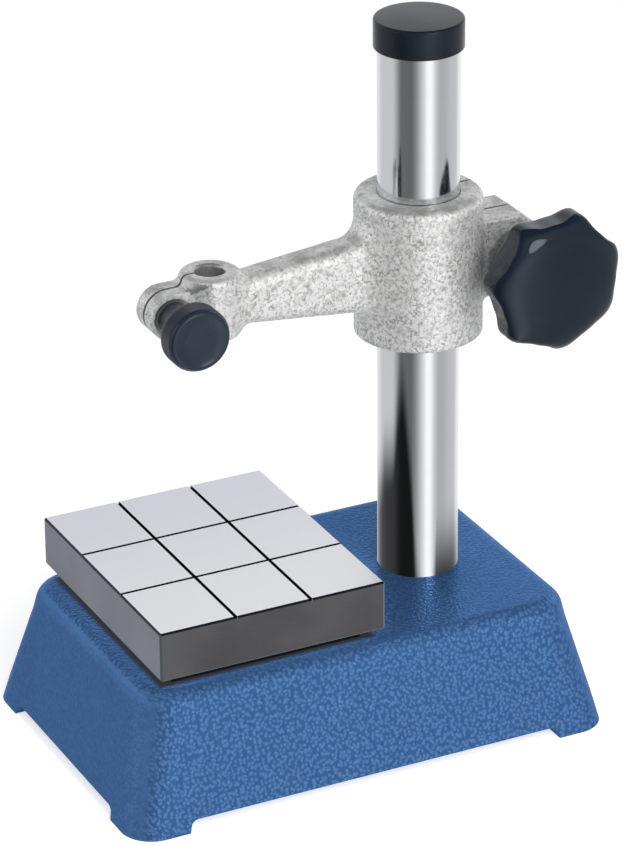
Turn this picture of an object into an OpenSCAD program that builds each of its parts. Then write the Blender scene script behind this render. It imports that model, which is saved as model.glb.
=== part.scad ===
// Comparator stand: a cast base with a lapped measuring table and a round column, on which a
// split arm slides and swivels. The arm's nose clamps the stem of a dial gauge.
// Millimetres. The floor is z = 0, the front of the stand faces -y and the column stands at +x.

/* [Base] */
// Length of base left in front of the table, at the floor
base_front_margin = 13; // [10:0.5:25]
// Width of base left on each side of the table, at the floor
base_side_margin = 10; // [8:0.5:25]
// Length of base behind the column's axis, at the floor
base_rear = 34.5; // [30:0.5:60]
// Height of the base
base_h = 37; // [34:0.5:55]
// How far each side leans in between the floor and the top
base_draft = 8.2; // [4:0.1:10]
// Corner radius of the base in plan, at the floor
base_corner_r = 9; // [6:0.5:14]
// Corner radius of the base in plan, at the top
base_shoulder_r = 12; // [8:0.5:16]
// Rounding of the top edge
base_edge_r = 5; // [2:0.5:7]
// Thickness of the cast walls
base_wall = 6; // [4:0.5:8]
// Thickness of the cast top
base_roof = 7; // [5:0.5:10]
// Length of each corner foot along a side
foot_l = 16; // [12:0.5:22]
// Height of the arches between the feet
arch_h = 3.3; // [2:0.1:5]
// Rounding at the ends of the arches
arch_r = 2.6; // [1:0.1:4]

/* [Table] */
// Length of the measuring table, along x
table_l = 65; // [50:1:90]
// Width of the measuring table, along y
table_w = 76; // [60:1:100]
// Thickness of the measuring table
table_h = 14; // [10:0.5:20]
// Chamfer on the table's edges
table_chamfer = 0.5; // [0.3:0.1:1.5]
// Width of the grooves in the table's face
groove_w = 1; // [0.5:0.1:2]
// Depth of the grooves in the table's face
groove_depth = 0.8; // [0.3:0.1:2]
// Fields between the grooves, each way
table_fields = 3; // [2:1:5]
// Height of the machined pad that carries the table
pad_h = 3.5; // [2:0.5:6]
// How far the pad stands in from the table's edges
pad_inset = 5; // [1:0.5:6]
// Distance of the table's screws from its edges
table_screw_inset = 11; // [9:0.5:16]
// Thread diameter of the table's screws
table_screw_d = 5; // [4:1:6]
// Thread length of the table's screws inside the table
table_screw_grip = 7.5; // [5:0.5:8.5]

/* [Column] */
// Diameter of the column
column_d = 22; // [18:0.5:26]
// Height of the column between the base and its cap
column_rise = 149.5; // [120:0.5:220]
// Depth of the column's socket in the base
socket_depth = 19; // [16:0.5:20]
// Wall of the boss round the column's socket
socket_wall = 7; // [4:0.5:9]
// Floor of the column's socket
socket_floor = 6; // [4:0.5:7]
// Thread diameter of the screw that holds the column
column_screw_d = 8; // [6:1:10]
// Thread length of that screw inside the column
column_screw_grip = 16; // [10:0.5:24]
// Chamfer on the column's ends
column_chamfer = 1; // [0.5:0.1:2]

/* [Cap] */
// Wall of the cap over the column's end
cap_wall = 1; // [0.8:0.1:2.5]
// Height of the cap
cap_h = 8; // [6:0.5:14]
// Thickness of the cap's top
cap_roof = 2; // [1:0.1:3]
// Rounding of the cap's top edge
cap_edge = 0.7; // [0.3:0.1:0.8]

/* [Arm] */
// Height of the arm's centre line above the base
arm_rise = 89; // [75:0.5:110]
// Distance from the column's axis to the middle of the table
throat = 62; // [58:0.5:90]
// How far the gauge stem's axis stands behind the middle of the table
stem_offset = 1; // [0:0.1:3]
// Wall of the sleeve round the column
sleeve_wall = 6.2; // [5:0.1:9]
// Height of the sleeve above the arm's centre line
sleeve_above = 20.2; // [17:0.1:30]
// Height of the sleeve below the arm's centre line
sleeve_below = 19.6; // [17:0.1:30]
// Rounding of the sleeve's upper edge
sleeve_top_r = 3; // [1:0.1:3.5]
// Rounding of the sleeve's lower edge
sleeve_bottom_r = 0.8; // [0.3:0.1:2]
// Chamfer at the mouths of the arm's two bores
bore_chamfer = 0.6; // [0.2:0.1:0.8]
// Half height of the bar where it leaves the sleeve
bar_root_half_h = 10.3; // [6:0.1:12]
// Half height of the bar where it meets the nose
bar_tip_half_h = 5.9; // [4:0.1:7]
// Half width of the bar where it leaves the sleeve
bar_root_half_w = 5.5; // [4:0.1:8]
// Half width of the bar where it meets the nose
bar_tip_half_w = 5; // [3.5:0.1:6]
// Fillet between the bar and the sleeve
bar_root_fillet = 5; // [2:0.5:7]
// Fillet between the bar and the nose
bar_tip_fillet = 2.5; // [1:0.5:4]
// Width of the slits that let the arm's ends clamp
slit_w = 0.9; // [0.5:0.1:2]

/* [Stem clamp] */
// Diameter of the gauge stem's bore
stem_d = 8; // [6:0.5:10]
// Wall of the nose round the stem's bore
nose_wall = 4.2; // [3.5:0.1:6]
// Height of the nose above the arm's centre line
nose_above = 9.3; // [8:0.1:14]
// Height of the nose below the arm's centre line
nose_below = 8.6; // [8:0.1:16]
// Rounding of the nose's edges
nose_edge_r = 2; // [0.5:0.1:2.5]
// Distance from the stem's axis to the clamp screw
lug_reach = 12.6; // [12:0.1:18]
// Radius of the lugs' round ends
lug_r = 6.4; // [6:0.1:7.5]
// Thickness across both lugs
lug_w = 9.5; // [8:0.5:14]
// Depth of the round seat for the washer
spotface_depth = 0.6; // [0.3:0.1:1]
// Thread diameter of the clamp screw
stem_screw_d = 5; // [4:0.5:6]
// Diameter of the knurled knob
stem_knob_d = 17.3; // [12:0.1:22]
// Thickness of the knurled knob
stem_knob_h = 6.6; // [4:0.1:10]
// Diameter of the collar behind the knurled knob
stem_collar_d = 9; // [8:0.5:9.5]
// Length of the collar behind the knurled knob
stem_collar_h = 9.8; // [6:0.1:14]

/* [Column clamp] */
// Distance from the sleeve's outside to the clamp stud
stud_gap = 7.9; // [7:0.1:14]
// Thread diameter of the clamp stud
stud_d = 8; // [6:1:10]
// Thickness across both ears
ear_w = 16; // [12:0.5:22]
// Half height of the ears at the sleeve
ear_half_h = 11; // [10:0.5:16]
// Radius of the ears' round ends
ear_r = 9.8; // [8:0.1:10]
// Slope of the ears from the sleeve to their round ends, in degrees
ear_taper = 38; // [30:1:50]
// Largest diameter of the star grip
star_d = 38.8; // [34:0.1:50]
// Depth of the hollows between the star grip's lobes
star_hollow = 2.1; // [1:0.1:4]
// Angle of the star grip's first lobe at rest, in degrees
star_turn = 19; // [0:1:60]
// Number of lobes on the star grip
star_lobes = 7; // [5:1:8]
// Thickness of the lobed head
star_head_h = 13; // [10:0.5:18]
// Rounding of the star grip's front edge
star_edge_r = 3; // [1:0.1:4]
// Rise of the star grip's domed face
star_dome = 0.8; // [0.2:0.1:2]
// Length of the hub behind the lobed head
star_hub_h = 11.6; // [9:0.1:16]
// Diameter of the hub at its seat
star_hub_d = 18; // [14:0.5:20]
// Diameter of the hub under the lobed head
star_flare_d = 29; // [20:0.5:32]

/* [Hidden] */
$fn = 96;

// Clearances
running_gap = 0.05;
seat_gap = 0.02;
end_gap = 0.1;
hole_gap = 0.25;

// How far cutters reach past a face, and how far joined shapes reach into each other
cut = 1;
overlap = 1;

// Facets of blended shapes
blend_fn = 32;
edge_step = 15;
bar_sides = 24;
bar_rings = 14;
star_sides_per_lobe = 12;
star_edge_step = 30;

// Fullness of the bar's section, where 1 is an ellipse and 0 a rectangle
bar_fullness = 0.62;
// Slimness of the star grip's lobes, where 1 makes lobes and hollows alike
lobe_slimness = 1.9;

// Column, sleeve and nose radii
column_r = column_d / 2;
sleeve_r = column_r + running_gap + sleeve_wall;
nose_r = stem_d / 2 + nose_wall;

// Plan, measured from the column's axis
stem_reach = throat - stem_offset;
lug_end = stem_reach + lug_reach;
stud_x = sleeve_r + stud_gap;
base_front = throat + table_l / 2 + base_front_margin;
base_l = base_front + base_rear;
base_w = table_w + 2 * base_side_margin;
star_reach = max([for (k = [1 : star_lobes]) cos(star_turn + 360 * k / star_lobes)]) * star_d / 2;
back_reach = max(base_rear, stud_x + star_reach);
column_x = (base_front - back_reach) / 2;
base_x = column_x + base_rear - base_l / 2;

// Upright skirt and smallest corner radius of the base's form
base_skirt = 0.5;
base_min_r = 1;

// Heights above the floor
pad_top = base_h + pad_h;
table_top = pad_top + table_h;
roof_z = base_h - base_roof;
socket_z = base_h - socket_depth;
cap_z = base_h + column_rise;
column_top = cap_z + cap_h - cap_roof - end_gap;
arm_z = base_h + arm_rise;

// Fasteners, in proportion to their threads as standard socket screws and washers are
function head_d(d) = 1.5 * d + 1;
function head_h(d) = d;
function socket_d(d) = 0.8 * d;
function washer_d(d) = 2 * d;
function washer_h(d) = 0.2 * d;
table_seat_margin = 2;
table_seat_d = washer_d(table_screw_d) + 2 * table_seat_margin;
table_seat_h = 4;
table_seat_z = roof_z - table_seat_h;
boss_z = socket_z - socket_floor;
boss_r = column_r + seat_gap + socket_wall;
table_screw_x = table_l / 2 - table_screw_inset;
table_screw_y = table_w / 2 - table_screw_inset;

// Clamp parts along their own axes, measured forward from the arm's middle plane
ear_face = ear_w / 2;
star_seat = ear_face + washer_h(stud_d);
star_thread = star_hub_h + star_head_h / 3;
star_lip = 0.5;
star_dome_steps = [0.6, 0.1];
stem_seat = lug_w / 2 - spotface_depth + washer_h(stem_screw_d);
stem_thread = stem_collar_h + stem_knob_h / 2;
screw_end = 1;

// Grows from 0 at a distance r from a wall to r at the wall, along a quarter circle
function fillet(s, r) = s >= r ? 0 : s <= 0 ? r : r - sqrt(r * r - (r - s) * (r - s));

// Rounded oblong in the y-z plane at x, squarer than an ellipse
function oblong(x, half_w, half_h) = [
    for (i = [0 : bar_sides - 1])
        let (a = 360 * i / bar_sides, c = cos(a), s = sin(a))
        [x, half_w * sign(c) * pow(abs(c), bar_fullness), half_h * sign(s) * pow(abs(s), bar_fullness)]
];

// Closed outline of the star grip at height z, with rounded tips and wide hollows
function star_ring(z, tip, hollow) = [
    for (i = [0 : star_lobes * star_sides_per_lobe - 1])
        let (a = 360 * i / (star_lobes * star_sides_per_lobe))
        let (r = tip - hollow * (1 - pow((1 + cos(star_lobes * a)) / 2, lobe_slimness)))
        [r * cos(a + star_turn), r * sin(a + star_turn), z]
];

// Skin over a list of rings that all have the same number of points
module loft(rings) {
    n = len(rings[0]);
    last = (len(rings) - 1) * n;
    sides = [
        for (i = [0 : len(rings) - 2], j = [0 : n - 1])
            let (a = i * n + j, b = i * n + (j + 1) % n)
            each [[a, b + n, b], [a, a + n, b + n]]
    ];
    bottom = [for (j = [0 : n - 1]) j];
    top = [for (j = [n - 1 : -1 : 0]) last + j];
    polyhedron([for (ring = rings) each ring], concat(sides, [bottom], [top]));
}

module at_column() {
    translate([column_x, 0, 0]) children();
}

module at_table() {
    translate([column_x - throat, 0, 0]) children();
}

module at_table_screws() {
    for (sx = [-1, 1], sy = [-1, 1])
        at_table() translate([sx * table_screw_x, sy * table_screw_y, 0]) children();
}

// Places children on a clamp's axis with z pointing to the front
module at_clamp(x) {
    translate([column_x + x, 0, arm_z]) rotate([90, 0, 0]) children();
}

// Block with a chamfer on every edge, standing on z = 0
module chamfered_block(l, w, h, c) {
    function bevelled(a, b) = [
        [c - a / 2, -b / 2], [a / 2 - c, -b / 2], [a / 2, c - b / 2], [a / 2, b / 2 - c],
        [a / 2 - c, b / 2], [c - a / 2, b / 2], [-a / 2, b / 2 - c], [-a / 2, c - b / 2]
    ];
    translate([0, 0, h / 2]) intersection() {
        linear_extrude(h, center = true) polygon(bevelled(l, w));
        rotate([90, 0, 0]) linear_extrude(w, center = true) polygon(bevelled(l, h));
        rotate([90, 0, 90]) linear_extrude(l, center = true) polygon(bevelled(w, h));
    }
}

// Cylinder from z0 to z1 with rounded lower and upper edges
module rounded_cylinder(r, z0, z1, lower_r, upper_r) {
    function edge(z, e, from) = [
        for (a = [from : edge_step : from + 90]) [r - e + e * cos(a), z + e * sin(a)]
    ];
    rotate_extrude() polygon(concat(
        [[0, z0]], edge(z0 + lower_r, lower_r, -90), edge(z1 - upper_r, upper_r, 0), [[0, z1]]
    ));
}

// Cutter for a bore from z0 to z1 with a chamfer at both mouths
module chamfered_bore(r, z0, z1, c) {
    translate([0, 0, z0 - cut]) cylinder(r = r, h = z1 - z0 + 2 * cut);
    translate([0, 0, z0 - cut]) cylinder(r1 = r + c + cut, r2 = r, h = c + cut);
    translate([0, 0, z1 - c]) cylinder(r1 = r, r2 = r + c + cut, h = c + cut);
}

module washer(d, gap) {
    difference() {
        cylinder(d = washer_d(d), h = washer_h(d));
        translate([0, 0, -cut]) cylinder(d = d + 2 * gap, h = washer_h(d) + 2 * cut);
    }
}

// Socket head screw with its head below z = 0 and its thread above
module socket_screw(d, l) {
    difference() {
        union() {
            translate([0, 0, -head_h(d)]) cylinder(d = head_d(d), h = head_h(d));
            cylinder(d = d, h = l);
        }
        translate([0, 0, -head_h(d) - cut])
            cylinder(d = socket_d(d) / cos(30), h = head_h(d) / 2 + cut, $fn = 6);
    }
}

// Tapered block with rounded corners and a rounded top edge, its sides moved in by a wall
module base_form(wall, h) {
    lean = base_draft * (h - base_edge_r) / base_h;
    corner_r = max(base_corner_r - wall, base_min_r);
    shoulder_r = max(base_shoulder_r - wall, base_edge_r + base_min_r);
    shoulder = [base_l / 2 - wall - lean - shoulder_r, base_w / 2 - wall - lean - shoulder_r];
    hull() for (sx = [-1, 1], sy = [-1, 1]) {
        translate([sx * (base_l / 2 - wall - corner_r), sy * (base_w / 2 - wall - corner_r), 0])
            cylinder(r = corner_r, h = base_skirt, $fn = blend_fn);
        translate([sx * shoulder[0], sy * shoulder[1], h - base_edge_r])
            rotate_extrude($fn = blend_fn) intersection() {
                translate([shoulder_r - base_edge_r, 0]) circle(r = base_edge_r, $fn = blend_fn);
                square([shoulder_r, base_edge_r]);
            }
    }
}

// Bottom opening between two feet, along one side of the base
module arch(side_l, through) {
    half = side_l / 2 - foot_l;
    rotate([90, 0, 0]) linear_extrude(through, center = true) difference() {
        translate([-half, -cut]) square([2 * half, arch_h + cut]);
        for (sx = [-1, 1]) difference() {
            translate([sx * half - arch_r, arch_h - arch_r]) square([2 * arch_r, arch_r + cut]);
            translate([sx * (half - arch_r), arch_h - arch_r]) circle(r = arch_r);
        }
    }
}

module base() {
    color("#3a68a5") difference() {
        union() {
            difference() {
                translate([base_x, 0, 0]) base_form(0, base_h);
                translate([base_x, 0, -cut]) base_form(base_wall, roof_z + cut);
            }
            at_table() translate([0, 0, roof_z + overlap])
                linear_extrude(pad_top - roof_z - overlap)
                    square([table_l - 2 * pad_inset, table_w - 2 * pad_inset], center = true);
            at_column() translate([0, 0, boss_z]) cylinder(r = boss_r, h = roof_z + overlap - boss_z);
            at_table_screws() translate([0, 0, table_seat_z])
                cylinder(d = table_seat_d, h = table_seat_h + overlap);
        }
        at_column() translate([0, 0, socket_z]) cylinder(r = column_r + seat_gap, h = socket_depth + cut);
        at_column() translate([0, 0, boss_z - cut])
            cylinder(d = column_screw_d + 2 * hole_gap, h = socket_floor + 2 * cut);
        at_table_screws() translate([0, 0, table_seat_z - cut])
            cylinder(d = table_screw_d + 2 * hole_gap, h = pad_top - table_seat_z + 2 * cut);
        translate([base_x, 0, 0]) arch(base_l, base_w + 2 * cut);
        translate([base_x, 0, 0]) rotate([0, 0, 90]) arch(base_w, base_l + 2 * cut);
    }
}

module table() {
    color("gainsboro") difference() {
        at_table() translate([0, 0, pad_top]) chamfered_block(table_l, table_w, table_h, table_chamfer);
        at_table() for (i = [1 : table_fields - 1]) {
            translate([table_l * (i / table_fields - 0.5), 0, table_top])
                cube([groove_w, table_w + 2 * cut, 2 * groove_depth], center = true);
            translate([0, table_w * (i / table_fields - 0.5), table_top])
                cube([table_l + 2 * cut, groove_w, 2 * groove_depth], center = true);
        }
        at_table_screws() translate([0, 0, pad_top - cut])
            cylinder(d = table_screw_d + 2 * seat_gap, h = table_screw_grip + screw_end + cut);
    }
}

module table_screws() {
    l = pad_top - table_seat_z + washer_h(table_screw_d) + table_screw_grip;
    color("dimgray") at_table_screws()
        translate([0, 0, table_seat_z - washer_h(table_screw_d)]) socket_screw(table_screw_d, l);
}

module table_screw_washers() {
    color("silver") at_table_screws()
        translate([0, 0, table_seat_z - washer_h(table_screw_d)]) washer(table_screw_d, seat_gap);
}

module column() {
    color("lightsteelblue") at_column() difference() {
        rotate_extrude() polygon([
            [0, socket_z], [column_r - column_chamfer, socket_z], [column_r, socket_z + column_chamfer],
            [column_r, column_top - column_chamfer], [column_r - column_chamfer, column_top],
            [0, column_top]
        ]);
        translate([0, 0, socket_z - cut])
            cylinder(d = column_screw_d + 2 * seat_gap, h = column_screw_grip + screw_end + cut);
    }
}

module column_screw() {
    l = washer_h(column_screw_d) + socket_floor + column_screw_grip;
    color("dimgray") at_column()
        translate([0, 0, boss_z - washer_h(column_screw_d)]) socket_screw(column_screw_d, l);
}

module column_washer() {
    color("silver") at_column()
        translate([0, 0, boss_z - washer_h(column_screw_d)]) washer(column_screw_d, seat_gap);
}

module column_cap() {
    r_in = column_r + running_gap;
    r_out = column_r + cap_wall;
    color("#2a2d33") at_column() translate([0, 0, cap_z]) rotate_extrude() polygon([
        [r_in, 0], [r_out, 0], [r_out, cap_h - cap_edge], [r_out - cap_edge, cap_h], [0, cap_h],
        [0, cap_h - cap_roof], [r_in, cap_h - cap_roof]
    ]);
}

// Tapered bar that swells into the nose at one end and into the sleeve at the other
module arm_bar() {
    x_tip = -stem_reach;
    x_root = -sleeve_r + bar_root_fillet;
    loft([
        for (i = [0 : bar_rings])
            let (x = x_tip + (x_root - x_tip) * i / bar_rings)
            let (t = (x - x_tip) / (-sleeve_r - x_tip))
            let (root = fillet(-x - sleeve_r, bar_root_fillet))
            let (tip = fillet(x + stem_reach - nose_r, bar_tip_fillet))
            oblong(
                x,
                bar_tip_half_w + (bar_root_half_w - bar_tip_half_w) * t + root + tip / 2,
                bar_tip_half_h + (bar_root_half_h - bar_tip_half_h) * t + root + tip
            )
    ]);
}

// Outline of the lugs that close the nose round the stem, in the x-z plane
module lug_outline() {
    translate([-lug_end, 0]) circle(r = lug_r);
    translate([-lug_end, -lug_r]) square([lug_reach, 2 * lug_r]);
}

// Outline of the ears that close the sleeve round the column, in the x-z plane
module ear_outline() {
    touch = [stud_x + ear_r * sin(ear_taper), ear_r * cos(ear_taper)];
    foot = touch[1] + touch[0] * tan(ear_taper);
    translate([stud_x, 0]) circle(r = ear_r);
    intersection() {
        polygon([[0, -foot], [touch[0], -touch[1]], touch, [0, foot]]);
        translate([0, -ear_half_h]) square([stud_x + ear_r, 2 * ear_half_h]);
    }
}

module arm() {
    color("#d5d7d3") difference() {
        translate([column_x, 0, arm_z]) union() {
            rounded_cylinder(sleeve_r, -sleeve_below, sleeve_above, sleeve_bottom_r, sleeve_top_r);
            arm_bar();
            translate([-stem_reach, 0, 0])
                rounded_cylinder(nose_r, -nose_below, nose_above, nose_edge_r, nose_edge_r);
            rotate([90, 0, 0]) linear_extrude(lug_w, center = true) lug_outline();
            rotate([90, 0, 0]) linear_extrude(ear_w, center = true) ear_outline();
        }
        translate([column_x, 0, arm_z])
            chamfered_bore(column_r + running_gap, -sleeve_below, sleeve_above, bore_chamfer);
        translate([column_x - stem_reach, 0, arm_z])
            chamfered_bore(stem_d / 2, -nose_below, nose_above, bore_chamfer);
        translate([column_x - lug_end - lug_r - cut, -slit_w / 2, arm_z - nose_below - cut])
            cube([lug_reach + lug_r + cut, slit_w, nose_below + nose_above + 2 * cut]);
        translate([column_x, -slit_w / 2, arm_z - sleeve_below - cut])
            cube([stud_x + ear_r + cut, slit_w, sleeve_below + sleeve_above + 2 * cut]);
        at_clamp(-lug_end) {
            translate([0, 0, -lug_w / 2 - cut]) cylinder(d = stem_screw_d + 2 * running_gap, h = lug_w);
            cylinder(d = stem_screw_d + 2 * hole_gap, h = lug_w);
            translate([0, 0, lug_w / 2 - spotface_depth])
                cylinder(d = washer_d(stem_screw_d) + 2 * hole_gap, h = spotface_depth + cut);
        }
        at_clamp(stud_x) {
            translate([0, 0, -ear_face - cut]) cylinder(d = stud_d + 2 * running_gap, h = ear_w);
            cylinder(d = stud_d + 2 * hole_gap, h = ear_w);
        }
    }
}

module star_knob() {
    tip = star_d / 2;
    rim = star_hub_h + star_head_h - star_dome;
    flank = star_hub_h + star_head_h / 4;
    color("#1c1f26") at_clamp(stud_x) translate([0, 0, star_seat]) difference() {
        union() {
            cylinder(d1 = star_hub_d, d2 = star_flare_d, h = star_hub_h + star_lip);
            loft(concat(
                [star_ring(star_hub_h, star_flare_d / 2 + star_lip, 0)],
                [star_ring(flank, tip - star_lip, star_hollow)],
                [star_ring(flank + 2 * star_lip, tip, star_hollow)],
                [for (a = [0 : star_edge_step : 90]) star_ring(
                    rim - star_edge_r * (1 - sin(a)), tip - star_edge_r * (1 - cos(a)), star_hollow
                )],
                [for (t = star_dome_steps) star_ring(
                    rim + star_dome * (1 - t * t), (tip - star_edge_r) * t, star_hollow * t
                )]
            ));
        }
        translate([0, 0, -cut]) cylinder(d = stud_d + 2 * seat_gap, h = star_thread + cut);
    }
}

module star_knob_stud() {
    back = ear_face - screw_end;
    color("silver") at_clamp(stud_x) translate([0, 0, -back])
        cylinder(d = stud_d, h = back + star_seat + star_thread);
}

module star_knob_washer() {
    color("silver") at_clamp(stud_x) translate([0, 0, ear_face]) washer(stud_d, running_gap);
}

module stem_clamp_knob() {
    edge = stem_knob_h / 10;
    collar_r = stem_collar_d / 2;
    knob_r = stem_knob_d / 2;
    top = stem_collar_h + stem_knob_h;
    color("#22252c") at_clamp(-lug_end) translate([0, 0, stem_seat]) difference() {
        rotate_extrude() polygon([
            [0, 0], [collar_r, 0], [collar_r, stem_collar_h], [knob_r - edge, stem_collar_h],
            [knob_r, stem_collar_h + edge], [knob_r, top - edge], [knob_r - edge, top], [0, top]
        ]);
        translate([0, 0, -cut]) cylinder(d = stem_screw_d + 2 * seat_gap, h = stem_thread + cut);
    }
}

module stem_clamp_screw() {
    back = lug_w / 2 - screw_end;
    color("silver") at_clamp(-lug_end) translate([0, 0, -back])
        cylinder(d = stem_screw_d, h = back + stem_seat + stem_thread);
}

module stem_clamp_washer() {
    color("silver") at_clamp(-lug_end) translate([0, 0, lug_w / 2 - spotface_depth])
        washer(stem_screw_d, running_gap);
}

base();
table();
table_screws();
table_screw_washers();
column();
column_screw();
column_washer();
column_cap();
arm();
star_knob();
star_knob_stud();
star_knob_washer();
stem_clamp_knob();
stem_clamp_screw();
stem_clamp_washer();
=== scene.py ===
"""Looks of a comparator stand: cast base, measuring table, column, sliding arm and clamp knobs.

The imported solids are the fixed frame. This script lays smooth meshes over them, dresses every
surface and sets a plain studio round the stand. Sizes are in millimetres until a mesh is made.
"""

import logging
import math
from dataclasses import dataclass
from enum import Enum
from typing import Callable, Sequence

import bmesh
import bpy
import numpy as np
from mathutils import Matrix, Vector

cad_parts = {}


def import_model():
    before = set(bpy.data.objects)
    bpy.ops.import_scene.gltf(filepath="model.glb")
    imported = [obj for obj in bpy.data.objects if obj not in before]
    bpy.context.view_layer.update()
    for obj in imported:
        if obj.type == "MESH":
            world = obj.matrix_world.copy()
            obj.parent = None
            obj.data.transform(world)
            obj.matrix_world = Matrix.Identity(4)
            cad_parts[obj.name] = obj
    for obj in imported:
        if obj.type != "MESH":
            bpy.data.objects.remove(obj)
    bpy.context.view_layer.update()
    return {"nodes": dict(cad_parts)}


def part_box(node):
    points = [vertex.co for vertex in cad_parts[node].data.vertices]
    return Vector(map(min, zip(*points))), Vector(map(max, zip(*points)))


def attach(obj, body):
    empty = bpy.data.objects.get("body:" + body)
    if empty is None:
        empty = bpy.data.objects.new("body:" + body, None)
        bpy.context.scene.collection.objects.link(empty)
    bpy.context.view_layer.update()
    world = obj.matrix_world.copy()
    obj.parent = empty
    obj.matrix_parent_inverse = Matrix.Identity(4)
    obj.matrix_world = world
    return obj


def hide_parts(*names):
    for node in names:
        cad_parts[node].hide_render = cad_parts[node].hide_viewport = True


LOG = logging.getLogger("comparator_stand")
MM = 0.001
FIT = 0.02  # Room between a thread and the bore that holds it
CRISP = 30.0  # Degrees from which the edges of small turned pieces stay sharp
WASHER = 0.2  # Thickness of a washer for each millimetre of its thread
PITCH = 0.16  # Pitch of a thread for each millimetre of its diameter
RIDGE = 0.3  # Depth of a thread's ridges for each millimetre of its pitch

Point = tuple[float, float, float]
Profile = list[tuple[float, float]]
Colour = tuple[float, float, float]
Material = bpy.types.Material
Node = bpy.types.Node
Object = bpy.types.Object
Socket = bpy.types.NodeSocket
Sockets = bpy.types.bpy_prop_collection


class Body(Enum):
    """The rigid bodies that the pieces ride on."""

    STAND = "stand"
    CAP = "cap"
    ARM = "arm"
    STAR_SEAT = "star_knob_seat"
    STAR = "star_knob"
    STEM_SEAT = "stem_knob_seat"
    STEM = "stem_knob"


class Slot(Enum):
    """The record's material slots."""

    ENAMEL = "base_enamel"
    GROUND = "ground_steel"
    BLACK_STEEL = "black_steel"
    BRIGHT_STEEL = "bright_steel"
    SATIN = "black_satin"
    ARM_PAINT = "arm_paint"
    GLOSS = "black_gloss"
    KNURL = "black_knurl"


# Meshes


def arc(cx: float, cz: float, r: float, start: float, end: float, steps: int) -> Profile:
    """Points on a circular arc of a profile.

    Args:
        cx: Centre, across.
        cz: Centre, upwards.
        r: Radius.
        start: First angle in degrees.
        end: Last angle in degrees.
        steps: Number of steps between them.

    Returns:
        The points, first to last.
    """
    angles = [math.radians(start + (end - start) * i / steps) for i in range(steps + 1)]
    return [(cx + r * math.cos(a), cz + r * math.sin(a)) for a in angles]


class Shape:
    """Collects points and faces in millimetres and makes a mesh object of them."""

    def __init__(self) -> None:
        """Starts with nothing."""
        self.points: list[Point] = []
        self.faces: list[tuple[int, ...]] = []

    def ring(self, points: Sequence[Point]) -> list[int]:
        """Adds points and returns their numbers.

        Args:
            points: The points in millimetres.

        Returns:
            Their numbers.
        """
        first = len(self.points)
        self.points.extend(points)
        return list(range(first, len(self.points)))

    def bridge(self, a: Sequence[int], b: Sequence[int]) -> None:
        """Joins two closed rings of the same length with quads.

        Args:
            a: First ring.
            b: Second ring.
        """
        n = len(a)
        for i in range(n):
            j = (i + 1) % n
            self.faces.append((a[i], a[j], b[j], b[i]))

    def cap(self, a: Sequence[int]) -> None:
        """Closes a ring with one flat face."""
        self.faces.append(tuple(a))

    def lathe(self, profile: Profile, segments: int, place: Matrix) -> "Shape":
        """Turns a profile round its own upright axis and sets it in place.

        Args:
            profile: Radius and height of each point; a closed shell starts and ends on the axis or
                repeats its first point.
            segments: Number of steps round the axis.
            place: Where the axis goes, in millimetres.

        Returns:
            The shape itself.
        """
        rings: list[list[int]] = []
        for r, z in profile:
            if r < 1e-6:
                rings.append(self.ring([tuple(place @ Vector((0.0, 0.0, z)))]))
                continue
            turns = [2 * math.pi * i / segments for i in range(segments)]
            circle = [Vector((r * math.cos(a), r * math.sin(a), z)) for a in turns]
            rings.append(self.ring([tuple(place @ spot) for spot in circle]))
        for a, b in zip(rings, rings[1:]):
            if len(a) == 1 and len(b) == 1:
                continue
            if len(a) == 1:
                self.faces.extend((a[0], b[(i + 1) % segments], b[i]) for i in range(segments))
            elif len(b) == 1:
                self.faces.extend((a[i], a[(i + 1) % segments], b[0]) for i in range(segments))
            else:
                self.bridge(a, b)
        return self

    def block(self, low: Point, high: Point, chamfer: float) -> None:
        """Adds a box whose upper edges are chamfered.

        Args:
            low: Lowest corner.
            high: Highest corner.
            chamfer: Size of the chamfer on the upper edges.
        """
        rings = []
        for inset, z in ((0.0, low[2]), (0.0, high[2] - chamfer), (chamfer, high[2])):
            x0, y0, x1, y1 = low[0] + inset, low[1] + inset, high[0] - inset, high[1] - inset
            rings.append(self.ring([(x0, y0, z), (x1, y0, z), (x1, y1, z), (x0, y1, z)]))
        self.cap(rings[0][::-1])
        for a, b in zip(rings, rings[1:]):
            self.bridge(a, b)
        self.cap(rings[-1])

    def build(self, name: str, sharp: float = 35.0) -> Object:
        """Makes the mesh object, in metres, with its faces pointing outwards.

        Args:
            name: Name of the piece.
            sharp: Edges that turn by more than this many degrees stay sharp.

        Returns:
            The object, at the origin.
        """
        mesh = bpy.data.meshes.new(name)
        mesh.from_pydata([(x * MM, y * MM, z * MM) for x, y, z in self.points], [], self.faces)
        work = bmesh.new()
        work.from_mesh(mesh)
        bmesh.ops.remove_doubles(work, verts=work.verts, dist=1e-7)
        bmesh.ops.recalc_face_normals(work, faces=work.faces)
        work.to_mesh(mesh)
        work.free()
        return finish_mesh(name, mesh, sharp)


def finish_mesh(name: str, mesh: bpy.types.Mesh, sharp: float) -> Object:
    """Shades a mesh smooth between its sharp edges and links it to the scene.

    Args:
        name: Name of the piece.
        mesh: The mesh, in metres.
        sharp: Edges that turn by more than this many degrees stay sharp.

    Returns:
        The object.
    """
    mesh.validate()
    mesh.shade_smooth()
    mesh.set_sharp_from_angle(angle=math.radians(sharp))
    piece = bpy.data.objects.new(name, mesh)
    bpy.context.scene.collection.objects.link(piece)
    return piece


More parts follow.
